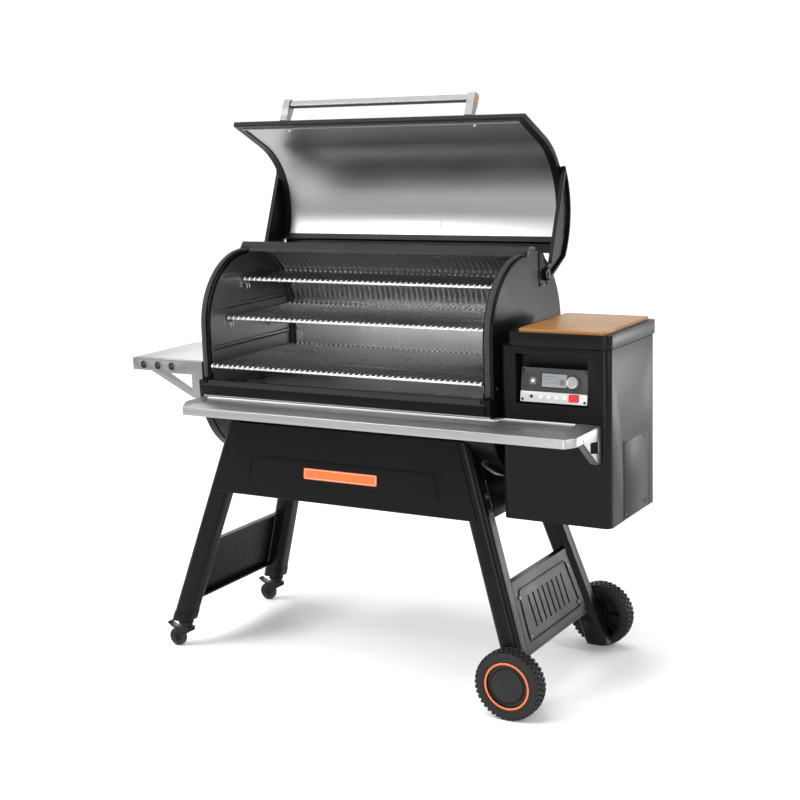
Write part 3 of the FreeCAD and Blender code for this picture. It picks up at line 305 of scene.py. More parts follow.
def merge(bm, part, matrix=None):
    """Move a part, if asked, and add it to another mesh."""
    if matrix is not None:
        bmesh.ops.transform(part, matrix=matrix, verts=part.verts)
    mesh = bpy.data.meshes.new("merge")
    part.to_mesh(mesh)
    part.free()
    bm.from_mesh(mesh)
    bpy.data.meshes.remove(mesh)


def frame_of(direction):
    """Two unit vectors square to a direction."""
    direction = Vector(direction).normalized()
    side = direction.orthogonal().normalized()
    return side, direction.cross(side)


def lathe(bm, profile, origin, axis, steps=48):
    """Closed (radius, height) profile turned about an axis through origin."""
    axis = Vector(axis).normalized()
    u, v = frame_of(axis)
    origin = Vector(origin)
    rings = []
    for k in range(steps):
        a = 2 * math.pi * k / steps
        out = u * math.cos(a) + v * math.sin(a)
        rings.append([bm.verts.new(origin + out * r + axis * h) for r, h in profile])
    for k in range(steps):
        here, there = rings[k], rings[(k + 1) % steps]
        for i in range(len(profile)):
            j = (i + 1) % len(profile)
            if profile[i][0] < 1e-6 and profile[j][0] < 1e-6:
                continue
            bm.faces.new((here[i], here[j], there[j], there[i]))
    bmesh.ops.remove_doubles(bm, verts=[p for ring in rings for p in ring], dist=1e-4)


def rod(bm, a, b, radius, sides=12, cap=0.0):
    """Round bar with domed or chamfered ends."""
    a, b = Vector(a), Vector(b)
    length = (b - a).length
    if cap:
        profile = [(0, 0), (radius * 0.6, cap * 0.15), (radius, cap), (radius, length - cap),
                   (radius * 0.6, length - cap * 0.15), (0, length)]
    else:
        profile = [(0, 0), (radius, 0), (radius, length), (0, length)]
    lathe(bm, profile, a, b - a, sides)


def bolt(bm, point, direction, radius=6.0, height=4.5):
    """Flanged hexagon head with a domed top."""
    direction = Vector(direction).normalized()
    lathe(bm, [(0, 0), (radius * 1.3, 0), (radius * 1.3, 0.8), (radius * 1.1, 1.4), (0, 1.4)],
          point, direction, 20)
    lathe(bm, [(0, 1.2), (radius, 1.2), (radius, height - 1.0), (radius * 0.82, height),
               (0, height)], point, direction, 6)


def arc(radius, start, end, centre=(MID_Y, UPPER_Z), steps=24):
    """Points on the barrel's section; 0 degrees is the front, 90 the top."""
    points = []
    for k in range(steps + 1):
        a = math.radians(start + (end - start) * k / steps)
        points.append((centre[0] - radius * math.cos(a), centre[1] + radius * math.sin(a)))
    return points


def rounded(points, radius, steps=4):
    """Closed outline with each corner rounded."""
    out = []
    count = len(points)
    for i, p in enumerate(points):
        p = Vector(p)
        before = Vector(points[i - 1]) - p
        after = Vector(points[(i + 1) % count]) - p
        cut = min(radius, before.length * 0.45, after.length * 0.45)
        a = p + before.normalized() * cut
        b = p + after.normalized() * cut
        for k in range(steps + 1):
            t = k / steps
            out.append(tuple(a * (1 - t) ** 2 + p * 2 * t * (1 - t) + b * t * t))
    return out


def sheet(bm, axis, line, start, end, thick):
    """Open line of points given a thickness to its left, extruded along an axis."""
    back = []
    for i, p in enumerate(line):
        p = Vector(p)
        a = Vector(line[max(i - 1, 0)])
        b = Vector(line[min(i + 1, len(line) - 1)])
        along = (b - a).normalized()
        back.append(tuple(p + Vector((-along.y, along.x)) * thick))
    return prism(bm, axis, list(line) + back[::-1], start, end)


def from_cad(node, width=0.0, limit=30.0):
    """Copy of a CAD node in mm, its flat faces joined up and its edges eased."""
    bm = bmesh.new()
    bm.from_mesh(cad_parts[node].data)
    bmesh.ops.transform(bm, matrix=PLACE.inverted(), verts=bm.verts)
    bmesh.ops.remove_doubles(bm, verts=bm.verts, dist=0.002)
    bmesh.ops.dissolve_limit(bm, angle_limit=math.radians(0.6), verts=bm.verts, edges=bm.edges)
    if width:
        round_edges(bm, width, 2, limit)
    return bm


def refine(node, mat, body, width=0.4, sharp=32.0):
    """Stand-in for a CAD node, its shape with eased edges."""
    piece(from_cad(node, width), node + "_skin", mat, body, [node], sharp)


def paint(node, mat):
    """Give a CAD node shown as it is a material."""
    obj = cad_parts[node]
    obj.data.materials.clear()
    obj.data.materials.append(mat)


def mirrored(build, name, mat, replaces=(), sharp=38.0):
    """Fixed piece built for both ends of the grill."""
    for side, label in ((-1, "_left"), (1, "_right")):
        bm = bmesh.new()
        build(bm, side)
        piece(bm, name + label, mat, "frame", replaces if side < 0 else (), sharp)


def tube(bm, points, radius, sides=10, flat=1.0, up=None):
    """Round or flattened bar swept along a line of points, with closed ends."""
    points = [Vector(p) for p in points]
    rings = []
    for i, p in enumerate(points):
        along = (points[min(i + 1, len(points) - 1)] - points[max(i - 1, 0)]).normalized()
        if up is None:
            up = along.orthogonal().normalized()
        up = (up - along * up.dot(along)).normalized()
        side = along.cross(up)
        rings.append([bm.verts.new(p + (up * math.cos(a) + side * math.sin(a) * flat) * radius)
                      for a in (2 * math.pi * k / sides for k in range(sides))])
    for a, b in zip(rings, rings[1:]):
        wall(bm, a, b)
    bm.faces.new(rings[0][::-1])
    bm.faces.new(rings[-1])


def loop(bm, points, radius, sides=8):
    """Tube along a closed line."""
    tube(bm, points + points[:2], radius, sides)


def on_x(side, a, b):
    return (side * a, side * b)


# ---------------------------------------------------------------- barrel
def plate_outline(inset=0.0):
    rim, shell = RIM_R - inset, SHELL_R - inset
    crest = 90 + math.degrees(math.asin((CREST_Y - MID_Y) / shell))
    return ([(MID_Y - rim, SILL_TOP - inset)] + arc(rim, 0, 90, steps=40)
            + [(MID_Y + 3, UPPER_Z + rim)] + arc(shell, crest, 180, steps=40)
            + arc(shell, 180, 360, (MID_Y, LOWER_Z), 72) + [(MID_Y - shell, SILL_TOP - inset)])


def end_plate(bm, side):
    prism(bm, "x", plate_outline(), side * PLATE_IN, side * (PLATE_OUT - 0.2))
    bmesh.ops.recalc_face_normals(bm, faces=bm.faces)
    round_edges(bm, 4.5, 4, 50, lambda e: all(abs(v.co.x) > PLATE_OUT - 1 for v in e.verts))


def rim_rope(bm, side):
    x = side * 450.0
    line = [(x, MID_Y - 206.5, 812.0 + 6 * k) for k in range(23)]
    line += [(x, y, z) for y, z in arc(206.5, 1, 88, steps=60)]
    tube(bm, line, 3.6, 10, 2.1, Vector((0, 1, 0)))


# Dark rope along the corner where the side and back liners meet, standing in for the shadow in the
# gap between them: painted shadow.
def corner_shadow_rope(bm, side):
    x = side * 430.0
    line = [(x, y, z) for y, z in arc(209.5, 97, 180, steps=40)]
    line += [(x, MID_Y + 209.5, 950 - 10 * k) for k in range(1, 17)]
    tube(bm, line, 5.5, 10)


def side_liner(bm, side):
    prism(bm, "x", plate_outline(11), side * (PLATE_IN - 1.2), side * (PLATE_IN + 0.5))
    for z, y0, y1 in ((1092.0, 74, 338), (1004.0, 20, 392), (893.0, 14, 396)):
        outline = [(side * (PLATE_IN - 1), z - 9), (side * (PLATE_IN - 6.5), z - 3),
                   (side * (PLATE_IN - 6.5), z + 3), (side * (PLATE_IN - 1), z + 5)]
        eased_prism(bm, "y", outline, y0, y1, 2.0)


def grate_hooks(bm, side):
    """Bent hooks that hold the front corners of the two upper grates."""
    for y, z in ((176.0, 1055.5), (88.0, 953.0)):
        for shift in (0.0, 13.0):
            x = side * (PLATE_IN - 2)
            tube(bm, [(x, y + shift, z + 6), (x - side * 8, y + shift, z + 6),
                      (x - side * 14, y + shift, z + 2), (x - side * 15, y + shift, z - 6),
                      (x - side * 12, y + shift, z - 11)], 2.2, 8)
        soft_block(bm, *sorted((side * (PLATE_IN - 4.5), side * (PLATE_IN - 1))), y - 8, y + 24,
                   z - 6, z + 9, 1.0)


def smooth_liner(bm):
    line = ([(MID_Y - 216.4, 792.0)] + arc(216.4, 360, 180, (MID_Y, LOWER_Z), 72)
            + arc(216.4, 180, 97, steps=40))
    sheet(bm, "x", line, -PLATE_IN + 1.3, PLATE_IN - 1.3, 1.2)


def fluted_back(bm):
    """Pressed flutes up the chamber's back, cut through as vents near the top."""
    pitch, per_flute, rows = 17.5, 10, 34
    columns = int(2 * 424 / pitch) * per_flute
    grid = []
    for j in range(rows + 1):
        angle = 99.5 + (169.0 - 99.5) * j / rows
        fade = min(1.0, (rows - j) / 4.0, 0.3 + j / 3.0)
        line = []
        for i in range(columns + 1):
            x = -424.0 + 848.0 * i / columns
            wave = (0.5 - 0.5 * math.cos(2 * math.pi * i / per_flute)) ** 1.6
            y, z = arc(215.0 - 8.0 * fade * wave, angle, angle, steps=1)[0]
            line.append(bm.verts.new((x, y, z)))
        grid.append(line)
    for j in range(rows):
        angle = 99.5 + (169.0 - 99.5) * (j + 0.5) / rows
        for i in range(columns):
            vent = 104 < angle < 126 and i % per_flute in (0, 1, per_flute - 1)
            if not vent:
                bm.faces.new((grid[j][i], grid[j][i + 1], grid[j + 1][i + 1], grid[j + 1][i]))


def barrel_skin(bm):
    line = arc(223.3, 360, 180, (MID_Y, LOWER_Z), 72) + arc(223.3, 180, 97, steps=40)
    sheet(bm, "x", [(MID_Y - 223.3, LOWER_Z + 2)] + line, -PLATE_IN, PLATE_IN, 1.4)


def crest_rail(bm):
    outline = rounded([(211.5, 1149), (216, 1160), (230, 1177), (262, 1171.5), (262, 1166),
                       (234, 1170), (222, 1156), (216, 1149)], 2.5, 3)
    prism(bm, "x", outline, -466, 466)


def sill(bm):
    """Folded strip under the lid's edge, its top sloping back and its ends cut at an angle."""
    outline = rounded([(-24, 764.5), (-24, 792), (-13, 805.6), (1, 805.6), (1, 803.6), (-12, 803.6),
                       (-21.5, 791), (-21.5, 764.5)], 1.6, 3)
    low, high = prism(bm, "x", outline, -450, 450)
    for ring, side in ((low, -1), (high, 1)):
        for vert in ring:
            vert.co.x = side * (435 if vert.co.z > 800 and vert.co.y > -14 else 449.5)


def chamber():
    mirrored(end_plate, "end_plate", BLACK, ["end_plates"])
    mirrored(rim_rope, "rim_rope", ROPE, ["rim_gaskets"])
    mirrored(corner_shadow_rope, "corner_shadow_rope", ROPE)
    mirrored(side_liner, "side_liner", LINER_SIDE)
    mirrored(grate_hooks, "grate_hooks", LINER_SIDE)
    for build, name, mat, slot, nodes in (
            (smooth_liner, "smooth_liner", LINER_BACK_PAINTED_LIGHT, "stainless", ["chamber_liner"]),
            (fluted_back, "fluted_back", LINER_BACK_PAINTED_LIGHT, "stainless", ["back_vent_panel"]),
            (barrel_skin, "barrel_skin", BLACK, "black_coat", ["barrel_shell"]),
            (crest_rail, "crest_rail", BLACK_SOFT, "black_coat", []),
            (sill, "sill", BLACK, "black_coat", ["front_sill"])):
        bm = bmesh.new()
        build(bm)
        piece(bm, name, mat, "frame", nodes, 50 if name == "fluted_back" else 38)


def grates():
    """Fifty wires on cross rods, their ends turned down in front and up behind; the front rod and
    the wire ends carry a painted highlight.
    """
    count, pitch, first, half = 50, 17.5, -428.8, 431.5
    for name, y0, y1, top in (("bottom", 0.0, 414.0, 848.5), ("middle", 89.0, 408.0, 974.5),
                              ("top", 177.0, 372.0, 1077.0)):
        body, node = name + "_rack", name + "_grate"
        under, z = top - 7.2, top - 2.4
        wires, ends = bmesh.new(), bmesh.new()
        for x in (first + i * pitch for i in range(count)):
            tube(wires, [(x, y0 + 0.6, z - 3.0), (x, y0 + 1.4, z - 0.8), (x, y0 + 4, z),
                         (x, y1 - 4, z), (x, y1 - 1.4, z - 0.8), (x, y1 - 0.6, z - 3.0)], 2.4, 8)
        runs = 3 if y1 - y0 > 300 else 2
        for j in range(1, runs + 1):
            y = y0 + 4 + j * (y1 - y0 - 8) / runs
            rod(wires, (-half, y, under), (half, y, under), 2.8, 10, 1.0)
        for x in (-429, 429):
            rod(wires, (x, y0 + 4, under), (x, y1 - 4, under), 2.8, 10, 1.0)
        piece(wires, node + "_wires", WIRE_STEEL, body, [node], 60)
        # Front rod and wire ends in the lightened steel: a painted highlight along each grate's
        # edges.
        rod(ends, (-half, y0 + 4, top - 7.4), (half, y0 + 4, top - 7.4), 3.2, 12, 1.0)
        for x in (first + i * pitch for i in range(count)):
            tube(ends, [(x, y0 + 8, top - 2.1), (x, y0 + 2.4, z), (x, y0 + 0.2, top - 4.4),
                        (x, y0 - 0.6, top - 8.8)], 2.7, 8)
            tube(ends, [(x, y1 - 7, top - 2.1), (x, y1 - 2.6, top - 1.4),
                        (x, y1 - 1.4, top + 1.6)], 2.5, 8)
        piece(ends, node + "_wire_ends", PAINTED_HIGHLIGHT_STEEL, body, (), 60)


# ---------------------------------------------------------------- lid
def lid_section(outer, inner, low, last, steps=60):
    return ([(MID_Y - outer, low)] + arc(outer, 0, last, steps=steps)
            + arc(inner, last, 0, steps=steps) + [(MID_Y - inner, low)])


def on_lid(bm, name, mat, nodes=()):
    """Hang a piece drawn on the closed lid, swung open with it."""
    return piece(bm, name, mat, "lid", nodes, matrix=OPEN)


def lid():
    low, last, half = 809.0, 88.5, 464.5
    skin = bmesh.new()
    prism(skin, "x", lid_section(LID_OUT_R, 216.5, low + 6, last), -half, half)
    round_edges(skin, 3.0, 3, 50, lambda e: all(abs(v.co.x) > half - 1 for v in e.verts)
                and all((v.co.yz - Vector((MID_Y, UPPER_Z))).length > 222 or v.co.z < UPPER_Z
                        for v in e.verts))
    for side in (-1, 1):
        eased_prism(skin, "x", lid_section(217, 211.6, low + 6, last),
                    *on_x(side, 442, half - 0.5), 1.6, 2, 50)
    on_lid(skin, "lid_skin", BLACK, ["lid_shell"])

    roll = bmesh.new()
    outline = rounded([(-21, low), (-21.4, low + 22), (-12, low + 24), (-6.5, low + 19),
                       (-6.5, low + 4), (-9, low)], 4.0, 5)
    prism(roll, "x", outline, -half + 1, half - 1)
    back = arc(217.5, last - 4.2, last, steps=6) + arc(210.8, last, last - 4.2, steps=6)
    prism(roll, "x", back, -half + 2, half - 2)
    prism(roll, "x", [(192, 1174.6), (224, 1183.7), (223.6, 1185.1), (191.6, 1176)], -half + 4,
          half - 4)
    round_edges(roll, 1.2, 2, 60)
    on_lid(roll, "lid_rim", BLACK_SOFT)

    lining = bmesh.new()
    section = lid_section(215.8, 214.6, low + 24, last - 4.5, 80)
    prism(lining, "x", section, -443, 443)
    on_lid(lining, "lid_lining", LID_STEEL, ["lid_liner"])
    # Hem along the lining's front edge in the lightened steel: a painted highlight on that edge.
    hem = bmesh.new()
    prism(hem, "x", rounded([(-12.2, low + 23.5), (-12.2, low + 28), (-3.2, low + 21.5),
                             (-2.4, low + 19)], 0.8, 2), -442, 442)
    on_lid(hem, "lid_hem", PAINTED_HIGHLIGHT_STEEL)

    plate = bmesh.new()
    a = 76.5
    spin = (Matrix.Translation((0, MID_Y - 213.6 * math.cos(math.radians(a)),
                                UPPER_Z + 213.6 * math.sin(math.radians(a))))
            @ Matrix.Rotation(math.radians(-a), 4, "X"))
    eased_prism(plate, "y", rounded(rect(-78, 78, -10.5, 10.5), 3), -0.9, 1.0, 0.4, matrix=spin)
    for x in (-68, 68):
        part = bmesh.new()
        lathe(part, [(0, 0), (3.4, 0), (3.4, 1.0), (2.2, 2.0), (0, 2.0)], (x, 0, 0), (0, 1, 0), 16)
        merge(plate, part, spin)
    on_lid(plate, "lid_plate", ZINC)
    # Screw heads in the lightened steel: a painted highlight.
    screws = bmesh.new()
    for x in (-294, 300):
        lathe(screws, [(0, 0), (4.5, 0), (4.5, 1.4), (2.8, 2.6), (0, 2.6)],
              (x, MID_Y - 214.6, low + 44), (0, 1, 0), 20)
    on_lid(screws, "lid_lining_screws", PAINTED_HIGHLIGHT_STEEL)
    handle()
    refine("lid_arms", BLACK, "lid", 0.7)
    ribs = bmesh.new()
    middle = (OPEN @ Vector((0, MID_Y, UPPER_Z))).yz
    for side in (-1, 1):
        for radius, start, end in ((218, 156, 207), (211, 163, 199)):
            tube(ribs, [(side * 470.6, y, z) for y, z in arc(radius, start, end, middle)], 1.5, 8)
    piece(ribs, "lid_arm_ribs", BLACK, "lid")
    refine("lid_bolts", BOLT_STEEL, "lid", 0.0)
    refine("hinge_brackets", BLACK_SOFT, "frame", 0.5)


def handle():
    """Square tube with rounded edges between two posts, an orange ring on each end."""
    centre_y, centre_z, reach = -75.0, 823.0, 285.0
    bar = bmesh.new()
    outline = rounded(rect(centre_y - 9, centre_y + 9, centre_z - 9, centre_z + 9), 4.5, 5)
    prism(bar, "x", outline, -reach - 2, reach + 2)
    on_lid(bar, "handle_bar", HANDLE_STEEL, ["lid_handle"])
    posts = bmesh.new()
    outline = rounded([(-88, centre_z - 12), (-88, centre_z + 12), (-60, centre_z + 13),
                       (-34, centre_z + 10), (-20.8, centre_z + 14), (-20.8, centre_z - 12),
                       (-34, centre_z - 10), (-60, centre_z - 13)], 6.0, 5)
    for side in (-1, 1):
        eased_prism(posts, "x", outline, *on_x(side, reach, reach + 21.5), 1.6, 3, 50)
    on_lid(posts, "handle_posts", HANDLE_STEEL)
    rings = bmesh.new()
    for side in (-1, 1):
        lathe(rings, [(6.0, -1), (9.4, -1), (9.4, 0.3), (8.6, 0.8), (6.8, 0.8), (6.0, 0.3)],
              (side * (reach + 21.5), centre_y, centre_z), (side, 0, 0), 32)
    on_lid(rings, "handle_rings", ORANGE)


# ---------------------------------------------------------------- shelves
def front_shelf():
    """Folded tray: flat front band, sunken middle and a hem along the back."""
    top, low = 761.0, 737.2
    outline = [(-403, -178.8), (741, -178.8), (758.8, -150), (758.8, -9), (737, 1.6), (476, 1.6),
               (468, -25.4), (-444.6, -25.4), (-444.6, -112)]
    well = [(-398, -98), (699, -98), (699, -6), (494, -6), (484, -32), (-430, -32)]
    bm = bmesh.new()
    outer = rounded(outline, 7, 4)
    inner = rounded(well, 9, 4)

    def ring(points, z, inset=0.0):
        count = len(points)
        line = []
        for i, p in enumerate(points):
            a, b = Vector(points[i - 1]), Vector(points[(i + 1) % count])
            along = (b - a).normalized()
            line.append(bm.verts.new((p[0] - along.y * inset, p[1] + along.x * inset, z)))
        return line

    skirt_in = ring(outer, low, 1.4)
    rings = [ring(outer, low), ring(outer, top - 4), ring(outer, top - 1.2, 1.2),
             ring(outer, top, 4)]
    for a, b in zip([skirt_in] + rings, rings):
        wall(bm, a, b)
    under = ring(outer, top - 7, 1.4)
    wall(bm, under, skirt_in)
    bm.faces.new(under)
    well_rings = [ring(inner, top), ring(inner, top - 0.9, 0.7), ring(inner, top - 3.4, 1.2),
                  ring(inner, top - 4.2, 2.6)]
    for a, b in zip(well_rings, well_rings[1:]):
        wall(bm, a, b)
    bm.faces.new(well_rings[-1])
    edges = [bm.edges.get(pair) for line in (rings[-1], well_rings[0]) for pair in around(line)]
    bmesh.ops.triangle_fill(bm, use_beauty=True, use_dissolve=False, edges=edges)
    piece(bm, "front_shelf_tray", SHELF_STEEL, "frame", ["front_shelf"], 30)

    hem = bmesh.new()
    prism(hem, "x", rounded([(-25.2, 761), (-25.2, 764.5), (-20.2, 764.5), (-20.2, 759),
                             (-23.2, 759), (-23.2, 761)], 0.8, 2), -444, 466)
    piece(hem, "front_shelf_hem", SHELF_STEEL, "frame")
    gusset()
    side_shelf()


def gusset():
    bm = bmesh.new()
    outline = [(-133, 757), (1.2, 757), (1.2, 665), (-17, 665)]
    hole = rounded([(-63, 730), (-10, 724), (-10, 692), (-63, 703)], 4, 3)
    loops = []
    for x in (755.4, 757.6):
        outer = [bm.verts.new((x, y, z)) for y, z in rounded(outline, 4, 3)]
        inner = [bm.verts.new((x, y, z)) for y, z in hole]
        loops.append((outer, inner))
        edges = [bm.edges.new(pair) for line in (outer, inner) for pair in around(line)]
        bmesh.ops.triangle_fill(bm, use_beauty=True, use_dissolve=False, edges=edges)
    for near, far in zip(*loops):
        wall(bm, near, far)
    eased_prism(bm, "x", [(-133, 757), (-17, 665), (1, 665), (1, 667), (-16.4, 667), (-131, 758)],
                738, 757.6, 0.7)
    prism(bm, "x", [(-133, 757), (-131, 759), (1, 759), (1, 756.5)], 738, 757.6)
    for y in (-108, -22):
        bolt(bm, (757.6, y, 744), (1, 0, 0), 3.0, 2.4)
    piece(bm, "front_shelf_gusset", SHELF_STEEL, "frame", (), 30)


def side_shelf():
    refine("side_shelf", SIDE_SHELF_STEEL, "frame", 0.45)
    bm = bmesh.new()
    holes = (-677, -625, -574)
    for x in holes:
        lathe(bm, [(11.4, -2.4), (13.2, -2.4), (13.2, -1.9), (11.9, -0.4), (11.4, -0.4)],
              (x, 0, 834), (0, 1, 0), 28)
    prism(bm, "y", rounded([(-716.6, 853.6), (-464.5, 853.6), (-464.5, 852.8),
                            (-716.6, 852.8)], 0.3, 2), 12, 293)
    for x in holes:
        lathe(bm, [(11.3, -0.6), (11.3, 12), (0, 12), (0, 12.8), (12.1, 12.8), (12.1, -0.6)],
              (x, 0, 834), (0, 1, 0), 28)
    for y in (10, 26, 285, 300):
        bolt(bm, (-468.4, y, 760), (-1, 0, 0), 2.6, 2.0)
    piece(bm, "side_shelf_trim", SIDE_SHELF_STEEL, "frame", (), 30)


# ---------------------------------------------------------------- hopper and controller
def hopper():
    refine("hopper_body", BLACK, "frame", 0.4)
    refine("service_cover", BLACK, "frame", 0.4)
    refine("pellet_bin", ZINC, "frame", 0.0)
    refine("power_inlet", PLASTIC, "frame", 0.3)
    refine("hopper_lid", BLACK, "hopper_cover", 1.1, 34)
    seams = bmesh.new()
    door = rounded([(90.5, 498), (90.5, 703), (255.5, 703), (255.5, 498)], 3, 3)
    for a, b in around(door):
        tube(seams, [(782.2, *a), (782.2, *b)], 0.8, 6)
    piece(seams, "service_door_seam", BOLT_STEEL, "frame")
    piece(from_cad("bamboo_board"), "board", BAMBOO, "hopper_cover", ["bamboo_board"], 34)


def on_panel(bm, name, mat, body, nodes=(), sharp=38.0):
    return piece(bm, name, mat, body, nodes, sharp, PANEL)


def panel_plate(bm, x0, x1, z0, z1, front, back, radius):
    part = bmesh.new()
    prism(part, "y", rounded(rect(x0, x1, z0, z1), radius, 4), front, back)
    bmesh.ops.recalc_face_normals(part, faces=part.faces)
    round_edges(part, 0.5, 2, 50, lambda e: all(v.co.y < front + 0.01 for v in e.verts))
    merge(bm, part)


def controller():
    upper = bmesh.new()
    panel_plate(upper, 0.2, 182.8, 27.2, 87.3, 0, 3, 3)
    panel_plate(upper, 3, 180, 3, 84, 2.5, 24, 2)
    on_panel(upper, "panel_upper", GREY_PLASTIC, "frame", ["controller_case"])
    lower = bmesh.new()
    panel_plate(lower, 0.2, 182.8, 0.2, 27.0, -0.3, 3, 3)
    on_panel(lower, "panel_lower", SILVER_PANEL, "frame")

    bezel = bmesh.new()
    panel_plate(bezel, 55.5, 128.5, 37.5, 76.5, -0.7, 1, 3)
    panel_plate(bezel, 126.0, 127.6, 40, 74, -1.0, 1, 0.6)
    lathe(bezel, [(17.0, 0.2), (19.2, 0.2), (19.2, -0.5), (18.4, -1.1), (17.4, -1.1), (17.0, -0.6)],
          (145, 0, 55), (0, 1, 0), 48)
    panel_plate(bezel, 132.2, 160.8, 5.8, 25.2, -0.6, 1, 3)
    lathe(bezel, [(0, 0.2), (4.2, 0.2), (4.2, -0.9), (3.4, -1.3), (0, -1.5)], (31, 0, 14.5),
          (0, 1, 0), 28)
    panel_plate(bezel, 22, 27.5, 13.7, 15.3, -0.6, 1, 0.6)
    on_panel(bezel, "panel_bezels", PLASTIC, "frame")

    lens = bmesh.new()
    panel_plate(lens, 58.2, 125.8, 40.2, 73.8, -1.1, 1.4, 1.5)
    on_panel(lens, "display_face", LENS, "frame", ["display_window"])
    marks = bmesh.new()
    for k, (x0, x1) in enumerate(((62, 92), (62, 84), (62, 104))):
        panel_plate(marks, x0, x1, 66 - 8 * k, 67.6 - 8 * k, -1.25, -0.6, 0.6)
    panel_plate(marks, 108, 121, 47, 60, -1.25, -0.6, 2)
    on_panel(marks, "display_bars", DISPLAY_BAR, "frame")
    lamp = bmesh.new()
    lathe(lamp, [(0, 0.2), (4.6, 0.2), (4.6, -0.7), (3.0, -1.2), (0, -1.4)], (33, 0, 54),
          (0, 1, 0), 28)
    for k in range(8):
        a = math.pi * k / 4
        lathe(lamp, [(0, 0.2), (1.1, 0.2), (1.1, -0.6), (0, -0.9)],
              (33 + 8.4 * math.cos(a), 0, 54 + 8.4 * math.sin(a)), (0, 1, 0), 10)
    on_panel(lamp, "status_lamp", BUTTON, "frame")
    screws = bmesh.new()
    for x in (6.5, 176.5):
        for z in (6.5, 80.5):
            lathe(screws, [(0, 0.2), (3.5, 0.2), (3.5, -0.8), (2.4, -1.6), (1.5, -1.2), (0, -1.0)],
                  (x, -0.2, z), (0, 1, 0), 20)
    on_panel(screws, "panel_screws", PLASTIC, "frame")
    knob()
    for i, x in enumerate((58.0, 79.5, 101.0, 122.5)):
        bm = bmesh.new()
        soft_block(bm, x - 5, x + 5, -2.4, 6, 11, 18, 1.5, 3)
        soft_block(bm, x - 2, x + 2, -2.7, -1.8, 13.7, 15.3, 0.3, 1)
        name = "menu_button_%d" % (i + 1)
        on_panel(bm, name + "_cap", BUTTON, "menu_key_%d" % (i + 1), [name])
    bm = bmesh.new()
    soft_block(bm, 133.6, 159.4, -2.8, 6, 7.1, 23.9, 1.6, 3)
    soft_block(bm, 140, 153, -3.1, -2.2, 14.6, 16.4, 0.3, 1)
    on_panel(bm, "start_button_cap", RED, "start_key", ["start_button"])


def knob():
    bm = bmesh.new()
    rows = [(0, 4), (14.6, 4), (15.8, -1.2), (15.9, -3), (15.4, -12.2), (14.2, -13.6),
            (12.0, -13.2), (11.2, -12.4), (0, -12.0)]
    lathe(bm, rows, (145, 0, 55), (0, 1, 0), 96)
    for vert in bm.verts:
        flat = Vector((vert.co.x - 145, vert.co.z - 55))
        if 15.0 < flat.length < 16.2:
            a = math.atan2(flat.y, flat.x)
            flat *= 1 - 0.035 * (0.5 + 0.5 * math.cos(24 * a))
            vert.co.x, vert.co.z = 145 + flat.x, 55 + flat.y
    soft_block(bm, 144.2, 145.8, -14.0, -11.8, 61, 69.5, 0.35, 2)
    on_panel(bm, "knob_grip", KNOB, "knob", ["control_knob"], 30)


# ---------------------------------------------------------------- legs, apron, braces
def leg_centre(side, front, z):
    drop = LEG_Z - z
    y = 6.0 - LEAN_Y * drop if front else 378.0 + LEAN_Y * drop
    return Vector((side * (LEG_X + LEAN_X * drop), y, z))


def lean_x(side, z, offset=0.0):
    return side * (LEG_X + LEAN_X * (LEG_Z - z) + offset)


def leaning_slab(bm, side, outline, near, far, ease=0.0):
    """(y, z) outline stood in the leaning plane of one side's legs, between two offsets."""
    part = bmesh.new()
    prism(part, "x", outline, near, far)
    for vert in part.verts:
        vert.co.x = lean_x(side, vert.co.z, vert.co.x)
    if ease:
        round_edges(part, ease, 2, 50)
    merge(bm, part)


def brace(bm, side):
    """Pressed panel between the legs: rolled rim, raised border, plain upright ribs."""
    def corners(z0, z1, inset):
        front, back = 17.2 + inset, 366.8 - inset
        low, high = LEAN_Y * (314 - z0), LEAN_Y * (314 - z1)
        return [(front - low, z0), (front - high, z1), (back + high, z1), (back + low, z0)]

    leaning_slab(bm, side, rounded(corners(132, 312, 0), 8, 4), 17.4, 19.0)
    for z0, z1 in ((131, 137), (308, 315)):
        leaning_slab(bm, side, rounded(corners(z0, z1, 0.6), 2.4, 3), 2, 20.4, 0.8)
    rim = rounded(corners(158, 288, 30), 14, 5)
    loop(bm, [(lean_x(side, z, 19.4), y, z) for y, z in rim], 2.6)
    for y in range(87, 300, 30):
        tube(bm, [(lean_x(side, z, 19.2), y, z) for z in (182, 223, 264)], 2.2, 8)


